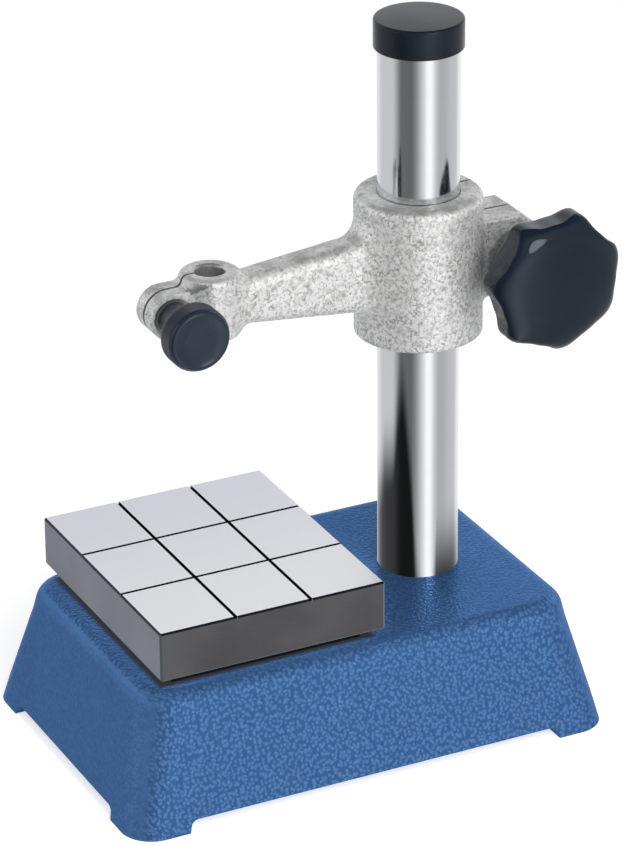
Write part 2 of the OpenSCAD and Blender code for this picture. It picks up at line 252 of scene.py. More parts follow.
def stand_in(piece: Object, body: Body, nodes: Sequence[str], finish: Material) -> None:
    """Dresses a piece and lets it stand for solids of the frame.

    Args:
        piece: The new piece.
        body: The body it rides on.
        nodes: The solids that it replaces.
        finish: Its material.
    """
    if not piece.data.materials:
        piece.data.materials.append(finish)
    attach(piece, body.value)
    if nodes:
        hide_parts(*nodes)
    LOG.info("%s rides on %s, %d faces", piece.name, body.value, len(piece.data.polygons))


def fit(shape: Shape, name: str, body: Body, node: str, finish: Material) -> None:
    """Builds a small turned piece with crisp edges and puts it on its body in place of its solid."""
    stand_in(shape.build(name, CRISP), body, [node], finish)


def clamp_axis(x: float, z: float) -> Matrix:
    """Place of a clamp's own axis, which points to the front."""
    return Matrix.Translation((x, 0.0, z)) @ Matrix.Rotation(math.pi / 2, 4, "X")


# Node trees


class Sketch:
    """Adds nodes to a node tree and links them."""

    def __init__(self, tree: bpy.types.NodeTree) -> None:
        """Works on one tree."""
        self.tree = tree

    def node(self, kind: str, **settings: object) -> Node:
        """Adds a node and sets its properties.

        Args:
            kind: Its kind.
            settings: Its properties.

        Returns:
            The node.
        """
        made = self.tree.nodes.new(kind)
        for key, value in settings.items():
            setattr(made, key, value)
        return made

    def put(self, value: object, target: Socket) -> None:
        """Links a socket, or sets a number or colour, on a target socket.

        Args:
            value: The socket, number or colour.
            target: Where it goes.
        """
        if isinstance(value, Socket):
            self.tree.links.new(value, target)
        else:
            target.default_value = value

    def add(self, kind: str, **values: object) -> Sockets:
        """Adds a node and fills its inputs.

        Args:
            kind: Its kind.
            values: Its inputs by name, with _ for a space.

        Returns:
            Its outputs.
        """
        made = self.node(kind)
        for key, value in values.items():
            self.put(value, made.inputs[key.replace("_", " ")])
        return made.outputs

    def math(self, operation: str, a: object, b: object = None, clamp: bool = False) -> Socket:
        """Adds a math node.

        Args:
            operation: What it does.
            a: First value.
            b: Second value, if it takes one.
            clamp: Whether the result is kept between 0 and 1.

        Returns:
            The result.
        """
        made = self.node("ShaderNodeMath", operation=operation, use_clamp=clamp)
        for value, target in zip((a, b), made.inputs):
            if value is not None:
                self.put(value, target)
        return made.outputs[0]

    def mul(self, a: object, b: object) -> Socket:
        """Product of two values."""
        return self.math("MULTIPLY", a, b)

    def sub(self, a: object, b: object) -> Socket:
        """Difference of two values."""
        return self.math("SUBTRACT", a, b)

    def plus(self, a: object, b: object) -> Socket:
        """Sum of two values."""
        return self.math("ADD", a, b)

    def div(self, a: object, b: object) -> Socket:
        """Quotient of two values."""
        return self.math("DIVIDE", a, b)

    def most(self, a: object, b: object) -> Socket:
        """The greater of two values."""
        return self.math("MAXIMUM", a, b)

    def size(self, a: object) -> Socket:
        """A value without its sign."""
        return self.math("ABSOLUTE", a)

    def vector(self, operation: str, a: object, b: object = None, scale: object = None) -> Socket:
        """Adds a vector math node.

        Args:
            operation: What it does.
            a: First vector.
            b: Second vector, if it takes one.
            scale: Factor, if it takes one.

        Returns:
            The result.
        """
        made = self.node("ShaderNodeVectorMath", operation=operation)
        for value, key in ((a, 0), (b, 1), (scale, "Scale")):
            if value is not None:
                self.put(value, made.inputs[key])
        return made.outputs[0]

    def split(self, vector: Socket) -> Sockets:
        """The X, Y and Z of a vector."""
        return self.add("ShaderNodeSeparateXYZ", Vector=vector)

    def joined(self, **parts: object) -> Socket:
        """The vector of some X, Y and Z."""
        return self.add("ShaderNodeCombineXYZ", **parts)[0]

    def ramp(self, value: Socket, low: float, high: float, a: float = 0.0, b: float = 1.0) -> Socket:
        """Maps a value smoothly from one range to another.

        Args:
            value: The value.
            low: Where the result is a.
            high: Where the result is b.
            a: First result.
            b: Last result.

        Returns:
            The mapped value.
        """
        made = self.node("ShaderNodeMapRange", interpolation_type="SMOOTHSTEP")
        for key, number in (("Value", value), ("From Min", low), ("From Max", high), ("To Min", a), ("To Max", b)):
            self.put(number, made.inputs[key])
        return made.outputs[0]

    def mix(self, factor: object, a: object, b: object) -> Socket:
        """Mixes two colours by a factor.

        Args:
            factor: 0 for the first colour, 1 for the second.
            a: First colour.
            b: Second colour.

        Returns:
            The mixed colour.
        """
        made = self.node("ShaderNodeMix", data_type="RGBA")
        sockets = {s.identifier: s for s in made.inputs}
        self.put(factor, sockets["Factor_Float"])
        for key, value in (("A_Color", a), ("B_Color", b)):
            self.put(value if isinstance(value, Socket) else (*value, 1.0), sockets[key])
        return next(s for s in made.outputs if s.identifier == "Result_Color")

    def noise(self, vector: Socket, scale: object, detail: float = 2.0) -> Sockets:
        """Adds a noise texture."""
        return self.add("ShaderNodeTexNoise", Vector=vector, Scale=scale, Detail=detail)

    def stretch(self, vector: Socket, scale: Point) -> Socket:
        """Scales texture coordinates."""
        return self.add("ShaderNodeMapping", Vector=vector, Scale=scale)[0]

    def steps(self, value: Socket, stops: Profile, tint: Colour = (1.0, 1.0, 1.0)) -> Socket:
        """Maps a value by straight lines between stops.

        Args:
            value: The value, 0 to 1.
            stops: Where each stop is, and its result.
            tint: Colour that the results are multiplied by.

        Returns:
            The mapped value as a colour.
        """
        made = self.node("ShaderNodeValToRGB")
        elements = made.color_ramp.elements
        while len(elements) < len(stops):
            elements.new(0.5)
        for element, (place, tone) in zip(elements, stops):
            element.position = place
            element.color = (*(tone * c for c in tint), 1.0)
        self.put(value, made.inputs[0])
        return made.outputs[0]


class Tree(Sketch):
    """Builds one geometry node tree with named inputs."""

    def __init__(self, name: str, **inputs: str) -> None:
        """Starts a tree that takes a geometry, its own inputs and a material.

        Args:
            name: Its name.
            inputs: Kinds of its own inputs by name.
        """
        super().__init__(bpy.data.node_groups.new(name, "GeometryNodeTree"))
        self.keys: dict[str, str] = {}
        for key, kind in {"Geometry": "Geometry", **inputs, "Material": "Material"}.items():
            socket = self.tree.interface.new_socket(key, in_out="INPUT", socket_type=f"NodeSocket{kind}")
            self.keys[key] = socket.identifier
        self.tree.interface.new_socket("Geometry", in_out="OUTPUT", socket_type="NodeSocketGeometry")
        self.given = self.node("NodeGroupInput").outputs
        self.exit = self.node("NodeGroupOutput").inputs

    def close(self, geometry: Socket) -> "Tree":
        """Sets the geometry in its place and ends the tree in Realize Instances and Set Material.

        Args:
            geometry: What the tree has made.

        Returns:
            The tree itself.
        """
        place = {"Translation": self.given["Centre"]}
        if "Turn" in self.keys:
            place["Rotation"] = self.given["Turn"]
        placed = self.add("GeometryNodeTransform", Geometry=geometry, **place)[0]
        real = self.add("GeometryNodeRealizeInstances", Geometry=placed)[0]
        dressed = self.add("GeometryNodeSetMaterial", Geometry=real, Material=self.given["Material"])[0]
        self.put(dressed, self.exit["Geometry"])
        return self

    def run(self, seed: Object, values: dict[str, object]) -> None:
        """Applies the tree to an object and keeps the result as its plain mesh.

        Args:
            seed: The object that carries the modifier.
            values: The tree's inputs by name.
        """
        modifier = seed.modifiers.new(self.tree.name, "NODES")
        modifier.node_group = self.tree
        for name, value in values.items():
            modifier[self.keys[name]] = value
        bpy.context.view_layer.update()
        shown = seed.evaluated_get(bpy.context.evaluated_depsgraph_get())
        made = bpy.data.meshes.new_from_object(shown)
        seed.modifiers.remove(modifier)
        old = seed.data
        seed.data = made
        bpy.data.meshes.remove(old)


def rib_tree() -> Tree:
    """Makes the tree that sets straight ribs round a turned blank, as a knurl.

    Returns:
        The tree, with inputs for the ribs, the place and the material.
    """
    t = Tree("Knurl ribs", Ribs="Int", Radius="Float", Length="Float", Width="Float", Centre="Vector", Turn="Vector")
    circle = t.add("GeometryNodeMeshCircle", Vertices=t.given["Ribs"], Radius=t.given["Radius"])[0]
    size = t.joined(X=t.given["Width"], Y=t.given["Width"], Z=t.given["Length"])
    rib = t.add("GeometryNodeMeshCube", Size=size)[0]
    ridge = t.add("GeometryNodeTransform", Geometry=rib, Rotation=(0.0, 0.0, math.pi / 4))[0]
    spot = t.split(t.add("GeometryNodeInputPosition")[0])
    turn = t.joined(Z=t.math("ARCTAN2", spot["Y"], spot["X"]))
    return t.close(t.add("GeometryNodeInstanceOnPoints", Points=circle, Instance=ridge, Rotation=turn)[0])


def lobe_tree() -> Tree:
    """Makes the tree that cuts the hollows of a star grip into a turned blank and crowns its face.

    The blank's attribute "lobing" says how far a point follows the hollows, "crowned" whether it
    lies on the crown of the face, and "sink" how far below the crown it stays.

    Returns:
        The tree, with inputs for the lobes, the crown, the place and the material.
    """
    t = Tree("Star lobes", Lobes="Int", Hollow="Float", Slimness="Float", First="Float", Tip="Float", Crown="Float",
             Roundness="Float", Shoulder="Float", Follow="Float", Centre="Vector", Turn="Vector")
    given, spot = t.given, t.split(t.add("GeometryNodeInputPosition")[0])
    x, y = spot["X"], spot["Y"]
    marks: dict[str, Socket] = {}
    for name in ("lobing", "crowned", "sink"):
        made = t.node("GeometryNodeInputNamedAttribute", data_type="FLOAT")
        made.inputs["Name"].default_value = name
        marks[name] = made.outputs[0]
    angle = t.sub(t.math("ARCTAN2", y, x), given["First"])
    wave = t.math("COSINE", t.mul(angle, given["Lobes"]))
    crest = t.math("POWER", t.mul(t.plus(wave, 1.0), 0.5), given["Slimness"])
    press = t.mul(t.mul(t.sub(1.0, crest), given["Hollow"]), marks["lobing"])
    radius = t.math("SQRT", t.plus(t.mul(x, x), t.mul(y, y)))
    edge = t.sub(given["Tip"], t.mul(press, given["Follow"]))
    reach = t.div(t.sub(radius, press), edge)
    rest = t.most(t.sub(1.0, t.math("POWER", reach, given["Roundness"])), 0.0)
    crown = t.plus(t.mul(t.math("SQRT", rest), given["Crown"]), given["Shoulder"])
    lift = t.sub(t.sub(crown, marks["sink"]), spot["Z"])
    inward = t.vector("SCALE", t.vector("NORMALIZE", t.joined(X=x, Y=y)), scale=t.mul(press, -1.0))
    shift = t.vector("ADD", inward, t.joined(Z=t.mul(lift, marks["crowned"])))
    return t.close(t.add("GeometryNodeSetPosition", Geometry=given["Geometry"], Offset=shift)[0])


def repeat_tree() -> Tree:
    """Makes the tree that sets one fastener, its geometry, at the corners of a rectangle.

    Returns:
        The tree, with inputs for the rectangle, its place and the material.
    """
    t = Tree("Corner fasteners", Length="Float", Width="Float", Centre="Vector")
    spread = {"Size_X": t.given["Length"], "Size_Y": t.given["Width"]}
    corners = t.add("GeometryNodeMeshGrid", Vertices_X=2, Vertices_Y=2, **spread)
    return t.close(t.add("GeometryNodeInstanceOnPoints", Points=corners[0], Instance=t.given["Geometry"])[0])


# Finishes


def group(name: str, inputs: str, outputs: str) -> tuple[Sketch, Sockets, Sockets]:
    """Starts a shader node group.

    Args:
        name: Its name.
        inputs: Names of its inputs, a vector called Vector and values.
        outputs: Names of its outputs, all values.

    Returns:
        A sketch of the group, the sockets of its inputs and those of its outputs.
    """
    tree = bpy.data.node_groups.new(name, "ShaderNodeTree")
    for key in inputs.split():
        kind = "NodeSocketVector" if key == "Vector" else "NodeSocketFloat"
        tree.interface.new_socket(key, in_out="INPUT", socket_type=kind)
    for key in outputs.split():
        tree.interface.new_socket(key, in_out="OUTPUT", socket_type="NodeSocketFloat")
    sketch = Sketch(tree)
    return sketch, sketch.node("NodeGroupInput").outputs, sketch.node("NodeGroupOutput").inputs


class Effects:
    """Surface effects that several finishes share, each a node group that is built once."""

    def __init__(self) -> None:
        """Builds the groups."""
        self.hammered = self._hammered("3D")
        self.pebbled = self._hammered("2D")
        self.machined = self._machined()
        self.film = self._film()

    @staticmethod
    def _hammered(dimensions: str) -> bpy.types.NodeTree:
        """Hammered paint, in space or on a flat.

        Args:
            dimensions: Dimensions of its cells, 3D or 2D.

        Returns:
            The group: swelling cells, the veins between them and a tone for each cell.
        """
        s, given, out = group(f"Hammered skin {dimensions}", "Vector Scale Warp Vein", "Height Veins Patch")
        bend = s.noise(given["Vector"], s.mul(given["Scale"], 0.7))["Color"]
        reach = s.div(given["Warp"], given["Scale"])
        shift = s.vector("SCALE", s.vector("SUBTRACT", bend, (0.5, 0.5, 0.5)), scale=reach)
        warped = s.vector("ADD", given["Vector"], shift)
        cells: dict[str, Node] = {}
        for feature in ("DISTANCE_TO_EDGE", "F1", "SMOOTH_F1"):
            made = s.node("ShaderNodeTexVoronoi", feature=feature, voronoi_dimensions=dimensions)
            s.put(warped, made.inputs["Vector"])
            s.put(given["Scale"], made.inputs["Scale"])
            cells[feature] = made
        cells["SMOOTH_F1"].inputs["Smoothness"].default_value = 0.3
        s.put(s.ramp(cells["SMOOTH_F1"].outputs["Distance"], 0.18, 0.62, 1.0, 0.0), out["Height"])
        gap = s.div(cells["DISTANCE_TO_EDGE"].outputs["Distance"], given["Vein"])
        s.put(s.math("SUBTRACT", 1.0, gap, clamp=True), out["Veins"])
        s.put(s.add("ShaderNodeSeparateColor", Color=cells["F1"].outputs["Color"])["Red"], out["Patch"])
        return s.tree

    @staticmethod
    def _machined() -> bpy.types.NodeTree:
        """Machined metal: fine lines that follow the coordinates' long direction, and slow clouds.

        Returns:
            The group.
        """
        s, given, out = group("Machined metal", "Vector Scale", "Lines Clouds")
        s.put(s.noise(given["Vector"], given["Scale"], 3.0)[0], out["Lines"])
        s.put(s.noise(given["Vector"], s.mul(given["Scale"], 0.08))[0], out["Clouds"])
        return s.tree

    @staticmethod
    def _film() -> bpy.types.NodeTree:
        """Handling film: soft smears, and a fine moulded grain.

        Returns:
            The group.
        """
        s, given, out = group("Handling film", "Vector Smears Grain", "Film Texture")
        s.put(s.ramp(s.noise(given["Vector"], given["Smears"], 4.0)[0], 0.3, 0.75), out["Film"])
        s.put(s.noise(given["Vector"], given["Grain"], 1.0)[0], out["Texture"])
        return s.tree


class Paintwork(Sketch):
    """A material in the making: one Principled shader and what feeds it."""

    def __init__(self, name: str) -> None:
        """Makes the material with its shader and Object coordinates.

        Args:
            name: Its name.
        """
        self.material = bpy.data.materials.new(name)
        self.material.use_nodes = True
        super().__init__(self.material.node_tree)
        self.tree.nodes.clear()
        self.shader = self.node("ShaderNodeBsdfPrincipled")
        self.add("ShaderNodeOutputMaterial", Surface=self.shader.outputs[0])
        self.place = self.add("ShaderNodeTexCoord")
        self.object = self.place["Object"]

    def set(self, **values: object) -> None:
        """Sets or links sockets of the shader.

        Args:
            values: Values by the sockets' names, with _ for a space.
        """
        for key, value in values.items():
            if isinstance(value, tuple) and len(value) == 3:
                value = (*value, 1.0)
            self.put(value, self.shader.inputs[key.replace("_", " ")])

    def use(self, tree: bpy.types.NodeTree, **values: object) -> Sockets:
        """Places a shared effect with its own values.

        Args:
            tree: The effect.
            values: Its inputs by name.

        Returns:
            Its outputs.
        """
        made = self.node("ShaderNodeGroup")
        made.node_tree = tree
        for key, value in values.items():
            self.put(value, made.inputs[key])
        return made.outputs

    def bump(self, height: Socket, depth: float, **under: Socket) -> Socket:
        """Adds a bump of a depth in millimetres, on its plain surface or on another Normal."""
        return self.add("ShaderNodeBump", Height=height, Distance=depth * MM, **under)[0]


@dataclass(frozen=True)
class HammeredEnamel:
    """Glossy stove enamel with a hammered skin, on the base, with painted shadow under the table, painted shade on its
    top and sides and a painted highlight along its edges.
    """

    # Where the painted shadow under the table lies, how high it starts and how fast it fades
    shadow_x: float
    shadow_half: tuple[float, float] = (30.2, 33.6)
    shadow_z: float = 36.95
    shadow_fade: float = 2.0
    deep: Colour = (0.022, 0.082, 0.228)
    light: Colour = (0.102, 0.230, 0.486)
    # Near-black colour of the painted shadow under the table
    shadow_colour: Colour = (0.004, 0.007, 0.013)
    cell: float = 1.1
    relief: float = 0.14
    side_from: float = 0.7
    level_from: float = 0.8

    def _table_shadow(self, m: Paintwork) -> Socket:
        """Mask of painted shadow in the narrow gap under the table, fading out just past the table's edges.

        Args:
            m: The material in the making.

        Returns:
            The mask, 0 to 1.
        """
        place = m.split(m.object)
        across = m.size(m.sub(place["X"], self.shadow_x * MM))
        along = m.size(place["Y"])
        past = m.most(m.sub(across, self.shadow_half[0] * MM),
                      m.sub(along, self.shadow_half[1] * MM))
        near = m.ramp(past, 0.0, self.shadow_fade * MM, 1.0, 0.0)
        return m.mul(near, m.ramp(place["Z"], (self.shadow_z - 0.3) * MM, self.shadow_z * MM))

    def _unrolled(self, m: Paintwork, facing: Sockets) -> Socket:
        """Coordinates that lie flat on each face, so that the cells are as wide on all of them.

        Args:
            m: The material in the making.
            facing: X, Y and Z of the surface's normal.

        Returns:
            The coordinates.
        """
        place = m.split(m.object)
        front, flank, upper = (m.joined(X=place[first], Y=place[second]) for first, second in ("XZ", "YZ", "XY"))
        side = m.math("GREATER_THAN", m.size(facing["X"]), self.side_from)
        level = m.math("GREATER_THAN", facing["Z"], self.level_from)
        return m.mix(level, m.mix(side, front, flank), upper)

    def build(self, fx: Effects) -> Material:
        """Makes the material.

        Args:
            fx: The shared effects.

        Returns:
            The material.
        """
        m = Paintwork("Hammered blue enamel")
        facing = m.split(m.place["Normal"])
        skin = m.use(fx.pebbled, Vector=self._unrolled(m, facing), Scale=1 / (self.cell * MM), Warp=0.7)
        film = m.use(fx.film, Vector=m.object, Smears=45.0, Grain=2600.0)
        # Painted shadow under the table: it darkens the colour to near black, takes away the metal shine and flattens
        # the relief
        table_shadow = self._table_shadow(m)
        across = m.size(facing["X"])
        # Bands round the corners and along the rounded top edges, where the flat coordinates switch from face to face.
        # The veins and relief drop out there, which hides the switch and leaves a lighter line: a painted highlight
        # along the edges.
        upright = m.ramp(m.size(m.sub(across, self.side_from)), 0.0, 0.12)
        level = m.ramp(m.size(m.sub(facing["Z"], self.level_from)), 0.0, 0.08)
        level = m.most(level, m.ramp(across, 0.15, 0.4, 1.0, 0.0))
        sides = m.mul(m.ramp(across, 0.35, 0.85, 1.0, 0.3), m.math("MINIMUM", upright, level))
        top = m.ramp(facing["Z"], 0.85, 0.99)
        dips = m.sub(1.0, skin["Height"])
        veins = m.mul(m.mul(dips, sides), m.ramp(top, 0.0, 1.0, 0.66, 0.4))
        # Painted shade: the enamel's tone is darkened on faces turned sideways and on top faces, lit and shaded copies
        # of one paint
        facing_shade = m.mul(m.ramp(across, 0.35, 0.85, 1.0, 0.72), m.ramp(top, 0.0, 1.0, 1.0, 0.66))
        patch = m.ramp(skin["Patch"], 0.0, 1.0, 0.8, 1.0)
        tone = m.mul(m.mul(m.sub(1.0, veins), facing_shade), patch)
        calm = m.mul(m.sub(1.0, table_shadow), m.ramp(top, 0.0, 1.0, 1.0, 0.4))
        height = m.mul(m.mul(skin["Height"], sides), calm)
        m.set(
            Base_Color=m.mix(table_shadow, m.mix(tone, self.deep, self.light), self.shadow_colour),
            Metallic=m.ramp(table_shadow, 0.0, 1.0, 0.5, 0.0),
            Roughness=m.sub(m.ramp(m.most(film["Film"], table_shadow), 0.0, 1.0, 0.36, 0.46), m.mul(top, 0.12)),
            Specular_IOR_Level=0.12,
            Specular_Tint=(0.35, 0.60, 1.0),
            Normal=m.bump(height, self.relief),
        )
        return m.material


@dataclass(frozen=True)
class HammeredSilver:
    """Silver hammered paint on the arm, worn off to bare metal where it was machined."""

    paint: Colour = (0.88, 0.88, 0.865)
    vein: Colour = (0.30, 0.30, 0.29)
    metal: Colour = (0.50, 0.50, 0.49)
    shade: Colour = (0.56, 0.56, 0.545)
    cell: float = 1.5
    worm: float = 1.1
    mottle: float = 1.2

    def build(self, fx: Effects) -> Material:
        """Makes the material; the mesh's attribute "bare" says where the metal is bare.

        Args:
            fx: The shared effects.

        Returns:
            The material.
        """
        m = Paintwork("Hammered silver paint")
        skin = m.use(fx.hammered, Vector=m.object, Scale=1 / (self.cell * MM), Warp=1.5, Vein=0.18)
        film = m.use(fx.film, Vector=m.object, Smears=170.0, Grain=1500.0)
        mottle = m.ramp(m.noise(m.object, 1 / (self.mottle * MM), 3.5)[0], 0.46, 0.72)
        lines = m.use(fx.machined, Vector=m.stretch(m.object, (1.0, 8.0, 1.0)), Scale=500.0)
        bare = m.node("ShaderNodeAttribute", attribute_name="bare")
        ragged = m.mul(m.sub(film["Texture"], 0.5), 0.7)
        mask = m.ramp(m.plus(bare.outputs["Fac"], ragged), 0.42, 0.58)
        broken = m.ramp(m.noise(m.object, 1100.0, 1.0)[0], 0.42, 0.62)
        veins = m.mul(m.ramp(skin["Veins"], 0.2, 0.9), broken)
        swirl = m.size(m.sub(m.noise(m.object, 1 / (self.worm * MM), 1.5)[0], 0.5))
        worms = m.mul(m.ramp(swirl, 0.0, 0.10, 1.0, 0.0), m.ramp(m.noise(m.object, 620.0, 1.0)[0], 0.48, 0.70))
        dark = m.mul(m.most(veins, worms), m.ramp(film["Film"], 0.0, 1.0, 0.55, 0.95))
        metal = m.mix(lines["Lines"], self.metal, (0.70, 0.70, 0.69))
        up = m.split(m.place["Normal"])
        # Painted shade: paint on the upward-facing shoulders is darkened towards the vein colour, patchy with the
        # handling film
        shoulder_shade = m.mul(m.ramp(up["Z"], 0.5, 0.85), m.ramp(film["Film"], 0.0, 1.0, 0.2, 0.75))
        coat = m.mix(m.most(dark, shoulder_shade), m.mix(mottle, self.paint, self.shade), self.vein)
        m.set(
            Base_Color=m.mix(mask, coat, metal),
            Metallic=m.ramp(mask, 0.0, 1.0, 0.55, 0.85),
            Roughness=m.ramp(mask, 0.0, 1.0, 0.48, 0.36),
            Normal=m.bump(m.mul(skin["Height"], m.sub(1.0, mask)), 0.07, Normal=m.bump(lines["Lines"], 0.02)),
        )
        return m.material


@dataclass(frozen=True)
class LappedSteel:
    """Table steel: a lapped pale face, ground sides and dark grooves, with painted light and shade: a sheen across the
    face, lit and shaded sides, dark chamfers and shadow in the grooves.
    """

    middle_x: float
    half_l: float = 32.5
    face: Colour = (0.83, 0.84, 0.88)
    # The face turns from the colour above at its back edge to this one at its front edge: a painted sheen
    near: Colour = (0.98, 0.98, 1.0)
    side: Colour = (0.27, 0.29, 0.325)
    stain: Colour = (0.19, 0.20, 0.22)
    # The front's tones are darker copies of the side's tones above: painted shade on the front of the same ground steel
    front: Colour = (0.146, 0.142, 0.148)
    front_stain: Colour = (0.092, 0.090, 0.094)
    half_w: float = 38.0
    # Near-black colour painted on the chamfers, standing in for the dark they mirror
    edge: Colour = (0.030, 0.038, 0.055)
    # Near-black colour of the painted shadow in the grooves
    groove_shadow_colour: Colour = (0.006, 0.006, 0.008)
    face_z: float = 54.5

    def build(self, fx: Effects) -> Material:
        """Makes the material; the face is told from the sides by the mesh's own normals.

        Args:
            fx: The shared effects.

        Returns:
            The material.
        """
        m = Paintwork("Lapped table steel")
        up = m.split(m.place["Normal"])
        height = m.split(m.object)
        top = m.ramp(up["Z"], 0.85, 0.97)
        high = m.ramp(height["Z"], (self.face_z - 0.12) * MM, (self.face_z - 0.03) * MM)
        face = m.mul(top, high)
        across = m.size(m.sub(height["X"], self.middle_x * MM))
        past = m.most(m.plus(across, (self.half_w - self.half_l) * MM), m.size(height["Y"]))
        # Painted shadow: the groove floors are painted near black and lose their shine, standing in for the shade in
        # the narrow grooves
        deep = m.ramp(height["Z"], (self.face_z - 1.4) * MM, (self.face_z - 1.0) * MM)
        low = m.mul(deep, m.sub(1.0, high))
        groove_shadow = m.mul(low, m.ramp(past, (self.half_w - 0.62) * MM, (self.half_w - 0.52) * MM, 1.0, 0.0))
        lap = m.use(fx.machined, Vector=m.object, Scale=900.0)
        grind = m.use(fx.machined, Vector=m.stretch(m.object, (0.3, 0.3, 6.0)), Scale=700.0)
        wear = m.use(fx.film, Vector=m.object, Smears=42.0, Grain=900.0)
        # Painted light and shade: faces turned along x take the lighter side tones and the front takes the darker front
        # tones, lit and shaded copies of one ground steel; the handling film adds real stains to both
        left = m.ramp(m.size(up["X"]), 0.3, 0.7)
        side = m.mix(left, m.mix(wear["Film"], self.front, self.front_stain),
                     m.mix(wear["Film"], self.side, self.stain))
        side = m.mix(m.mul(grind["Lines"], 0.22), side, (0.27, 0.275, 0.285))
        # Painted shade: the chamfers between the face and the sides are painted near black
        chamfer_shade = m.mul(m.ramp(m.size(up["Z"]), 0.3, 0.6), m.sub(1.0, top))
        side = m.mix(chamfer_shade, side, self.edge)
        # Painted sheen: the lapped face grows lighter from its back edge towards its front edge
        plain = m.mix(m.ramp(height["Y"], self.half_w * MM, -self.half_w * MM), self.face, self.near)
        plain = m.mix(m.mul(lap["Lines"], 0.2), plain, (0.74, 0.75, 0.78))
        m.set(
            Base_Color=m.mix(face, m.mix(groove_shadow, side, self.groove_shadow_colour), plain),
            Metallic=m.ramp(groove_shadow, 0.0, 1.0, 0.9, 0.0),
            Roughness=m.ramp(face, 0.0, 1.0, 0.42, 0.38),
            Specular_IOR_Level=m.ramp(groove_shadow, 0.0, 1.0, 0.5, 0.0),
            Normal=m.bump(grind["Lines"], 0.012, Normal=m.bump(lap["Lines"], 0.004)),
        )
        return m.material


@dataclass(frozen=True)
class GroundSteel:
    """Column steel, ground round and polished."""

    axis_x: float
    metal: Colour = (0.86, 0.865, 0.88)
    foot_reflection_colour: Colour = (0.030, 0.031, 0.032)
    # Painted reflection of the base: angle round the column, and the height in millimetres up to which the dark band
    # reaches
    film: tuple[tuple[float, float], ...] = (
        (-180, 66), (-172, 73), (-160, 74), (-154, 76), (-150, 82), (-147, 90), (-140, 97), (-135, 89), (-131, 79),
        (-126, 66), (-123, 52), (-120, 40), (-116, 33), (-107, 22), (-98, 23), (-90, 46), (-60, 48), (0, 46), (90, 46),
        (180, 66),
    )
    fade: float = 13.0

    def build(self, fx: Effects) -> Material:
        """Makes the material; a painted dark reflection of the base darkens the column near where it enters the base,
        higher on some sides than on others.

        Args:
            fx: The shared effects.

        Returns:
            The material.
        """
        m = Paintwork("Ground column steel")
        grind = m.use(fx.machined, Vector=m.stretch(m.object, (0.05, 0.05, 3.0)), Scale=900.0)
        height = m.split(m.object)
        around = m.math("ARCTAN2", height["Y"], m.sub(height["X"], self.axis_x * MM))
        level = m.steps(m.plus(m.div(around, 2 * math.pi), 0.5),
                        [((angle + 180) / 360, z / 100) for angle, z in self.film])
        over = m.sub(m.div(height["Z"], 100 * MM), level)
        # Painted reflection: mask of the dark band at the column's foot, soft over the fade
        film = m.mul(m.ramp(over, -self.fade / 100, self.fade / 100, 1.0, 0.0), 0.97)
        clean = m.mix(m.mul(grind["Clouds"], 0.25), self.metal, (0.74, 0.745, 0.76))
        m.set(
            Base_Color=m.mix(film, clean, self.foot_reflection_colour),
            Metallic=1.0,
            Roughness=m.ramp(grind["Lines"], 0.3, 0.7, 0.10, 0.15),
            Normal=m.bump(grind["Lines"], 0.002),
        )
        return m.material


@dataclass(frozen=True)
class Plastic:
    """Moulded plastic: colour, gloss and how much it has been handled."""

    name: str
    colour: Colour
    worn: Colour
    rough: tuple[float, float]
    grain: float
    shine: float = 0.5

    def build(self, fx: Effects) -> Material:
        """Makes the material.

        Args:
            fx: The shared effects.

        Returns:
            The material.
        """
        m = Paintwork(self.name)
        film = m.use(fx.film, Vector=m.object, Smears=60.0, Grain=3500.0)
        m.set(
            Base_Color=m.mix(film["Film"], self.colour, self.worn),
            Roughness=m.ramp(film["Film"], 0.0, 1.0, *self.rough),
            Specular_IOR_Level=self.shine,
            Specular_Tint=(0.86, 0.93, 1.0),
            Normal=m.bump(film["Texture"], self.grain),
        )
        return m.material


@dataclass(frozen=True)
class FastenerSteel:
    """Steel of screws, studs and washers."""

    name: str
    metal: Colour
    dull: Colour
    metallic: float
    rough: tuple[float, float]

    def build(self, fx: Effects) -> Material:
        """Makes the material.

        Args:
            fx: The shared effects.

        Returns:
            The material.
        """
        m = Paintwork(self.name)
        turned = m.use(fx.machined, Vector=m.object, Scale=1600.0)
        m.set(
            Base_Color=m.mix(turned["Clouds"], self.metal, self.dull),
            Metallic=self.metallic,
            Roughness=m.ramp(turned["Lines"], 0.3, 0.7, *self.rough),
            Normal=m.bump(turned["Lines"], 0.006),
        )
        return m.material


class Finishes:
    """Every finish of the stand, built once."""

    def __init__(self, plan: "Plan") -> None:
        """Builds the shared effects and the materials.

        Args:
            plan: Where the sub-assemblies stand.
        """
        fx = Effects()
        self.enamel = HammeredEnamel(plan.table_x).build(fx)
        self.silver = HammeredSilver().build(fx)
        self.table = LappedSteel(plan.table_x).build(fx)
        self.column = GroundSteel(plan.column_x).build(fx)
        self.gloss, self.satin, self.knurl = (Plastic(*values).build(fx) for values in (
            ("Gloss black grip", (0.003, 0.007, 0.013), (0.006, 0.012, 0.022), (0.05, 0.09), 0.002),
            ("Satin black cap", (0.006, 0.009, 0.014), (0.010, 0.014, 0.020), (0.24, 0.32), 0.008, 0.30),
            ("Satin black knob", (0.012, 0.018, 0.031), (0.017, 0.025, 0.041), (0.24, 0.32), 0.006),
        ))
        self.bright, self.black = (FastenerSteel(*values).build(fx) for values in (
            ("Bright steel", (0.62, 0.62, 0.64), (0.45, 0.45, 0.46), 0.95, (0.26, 0.38)),
            ("Black oxide steel", (0.035, 0.035, 0.037), (0.06, 0.058, 0.056), 0.6, (0.36, 0.50)),
        ))


# Sub-assemblies


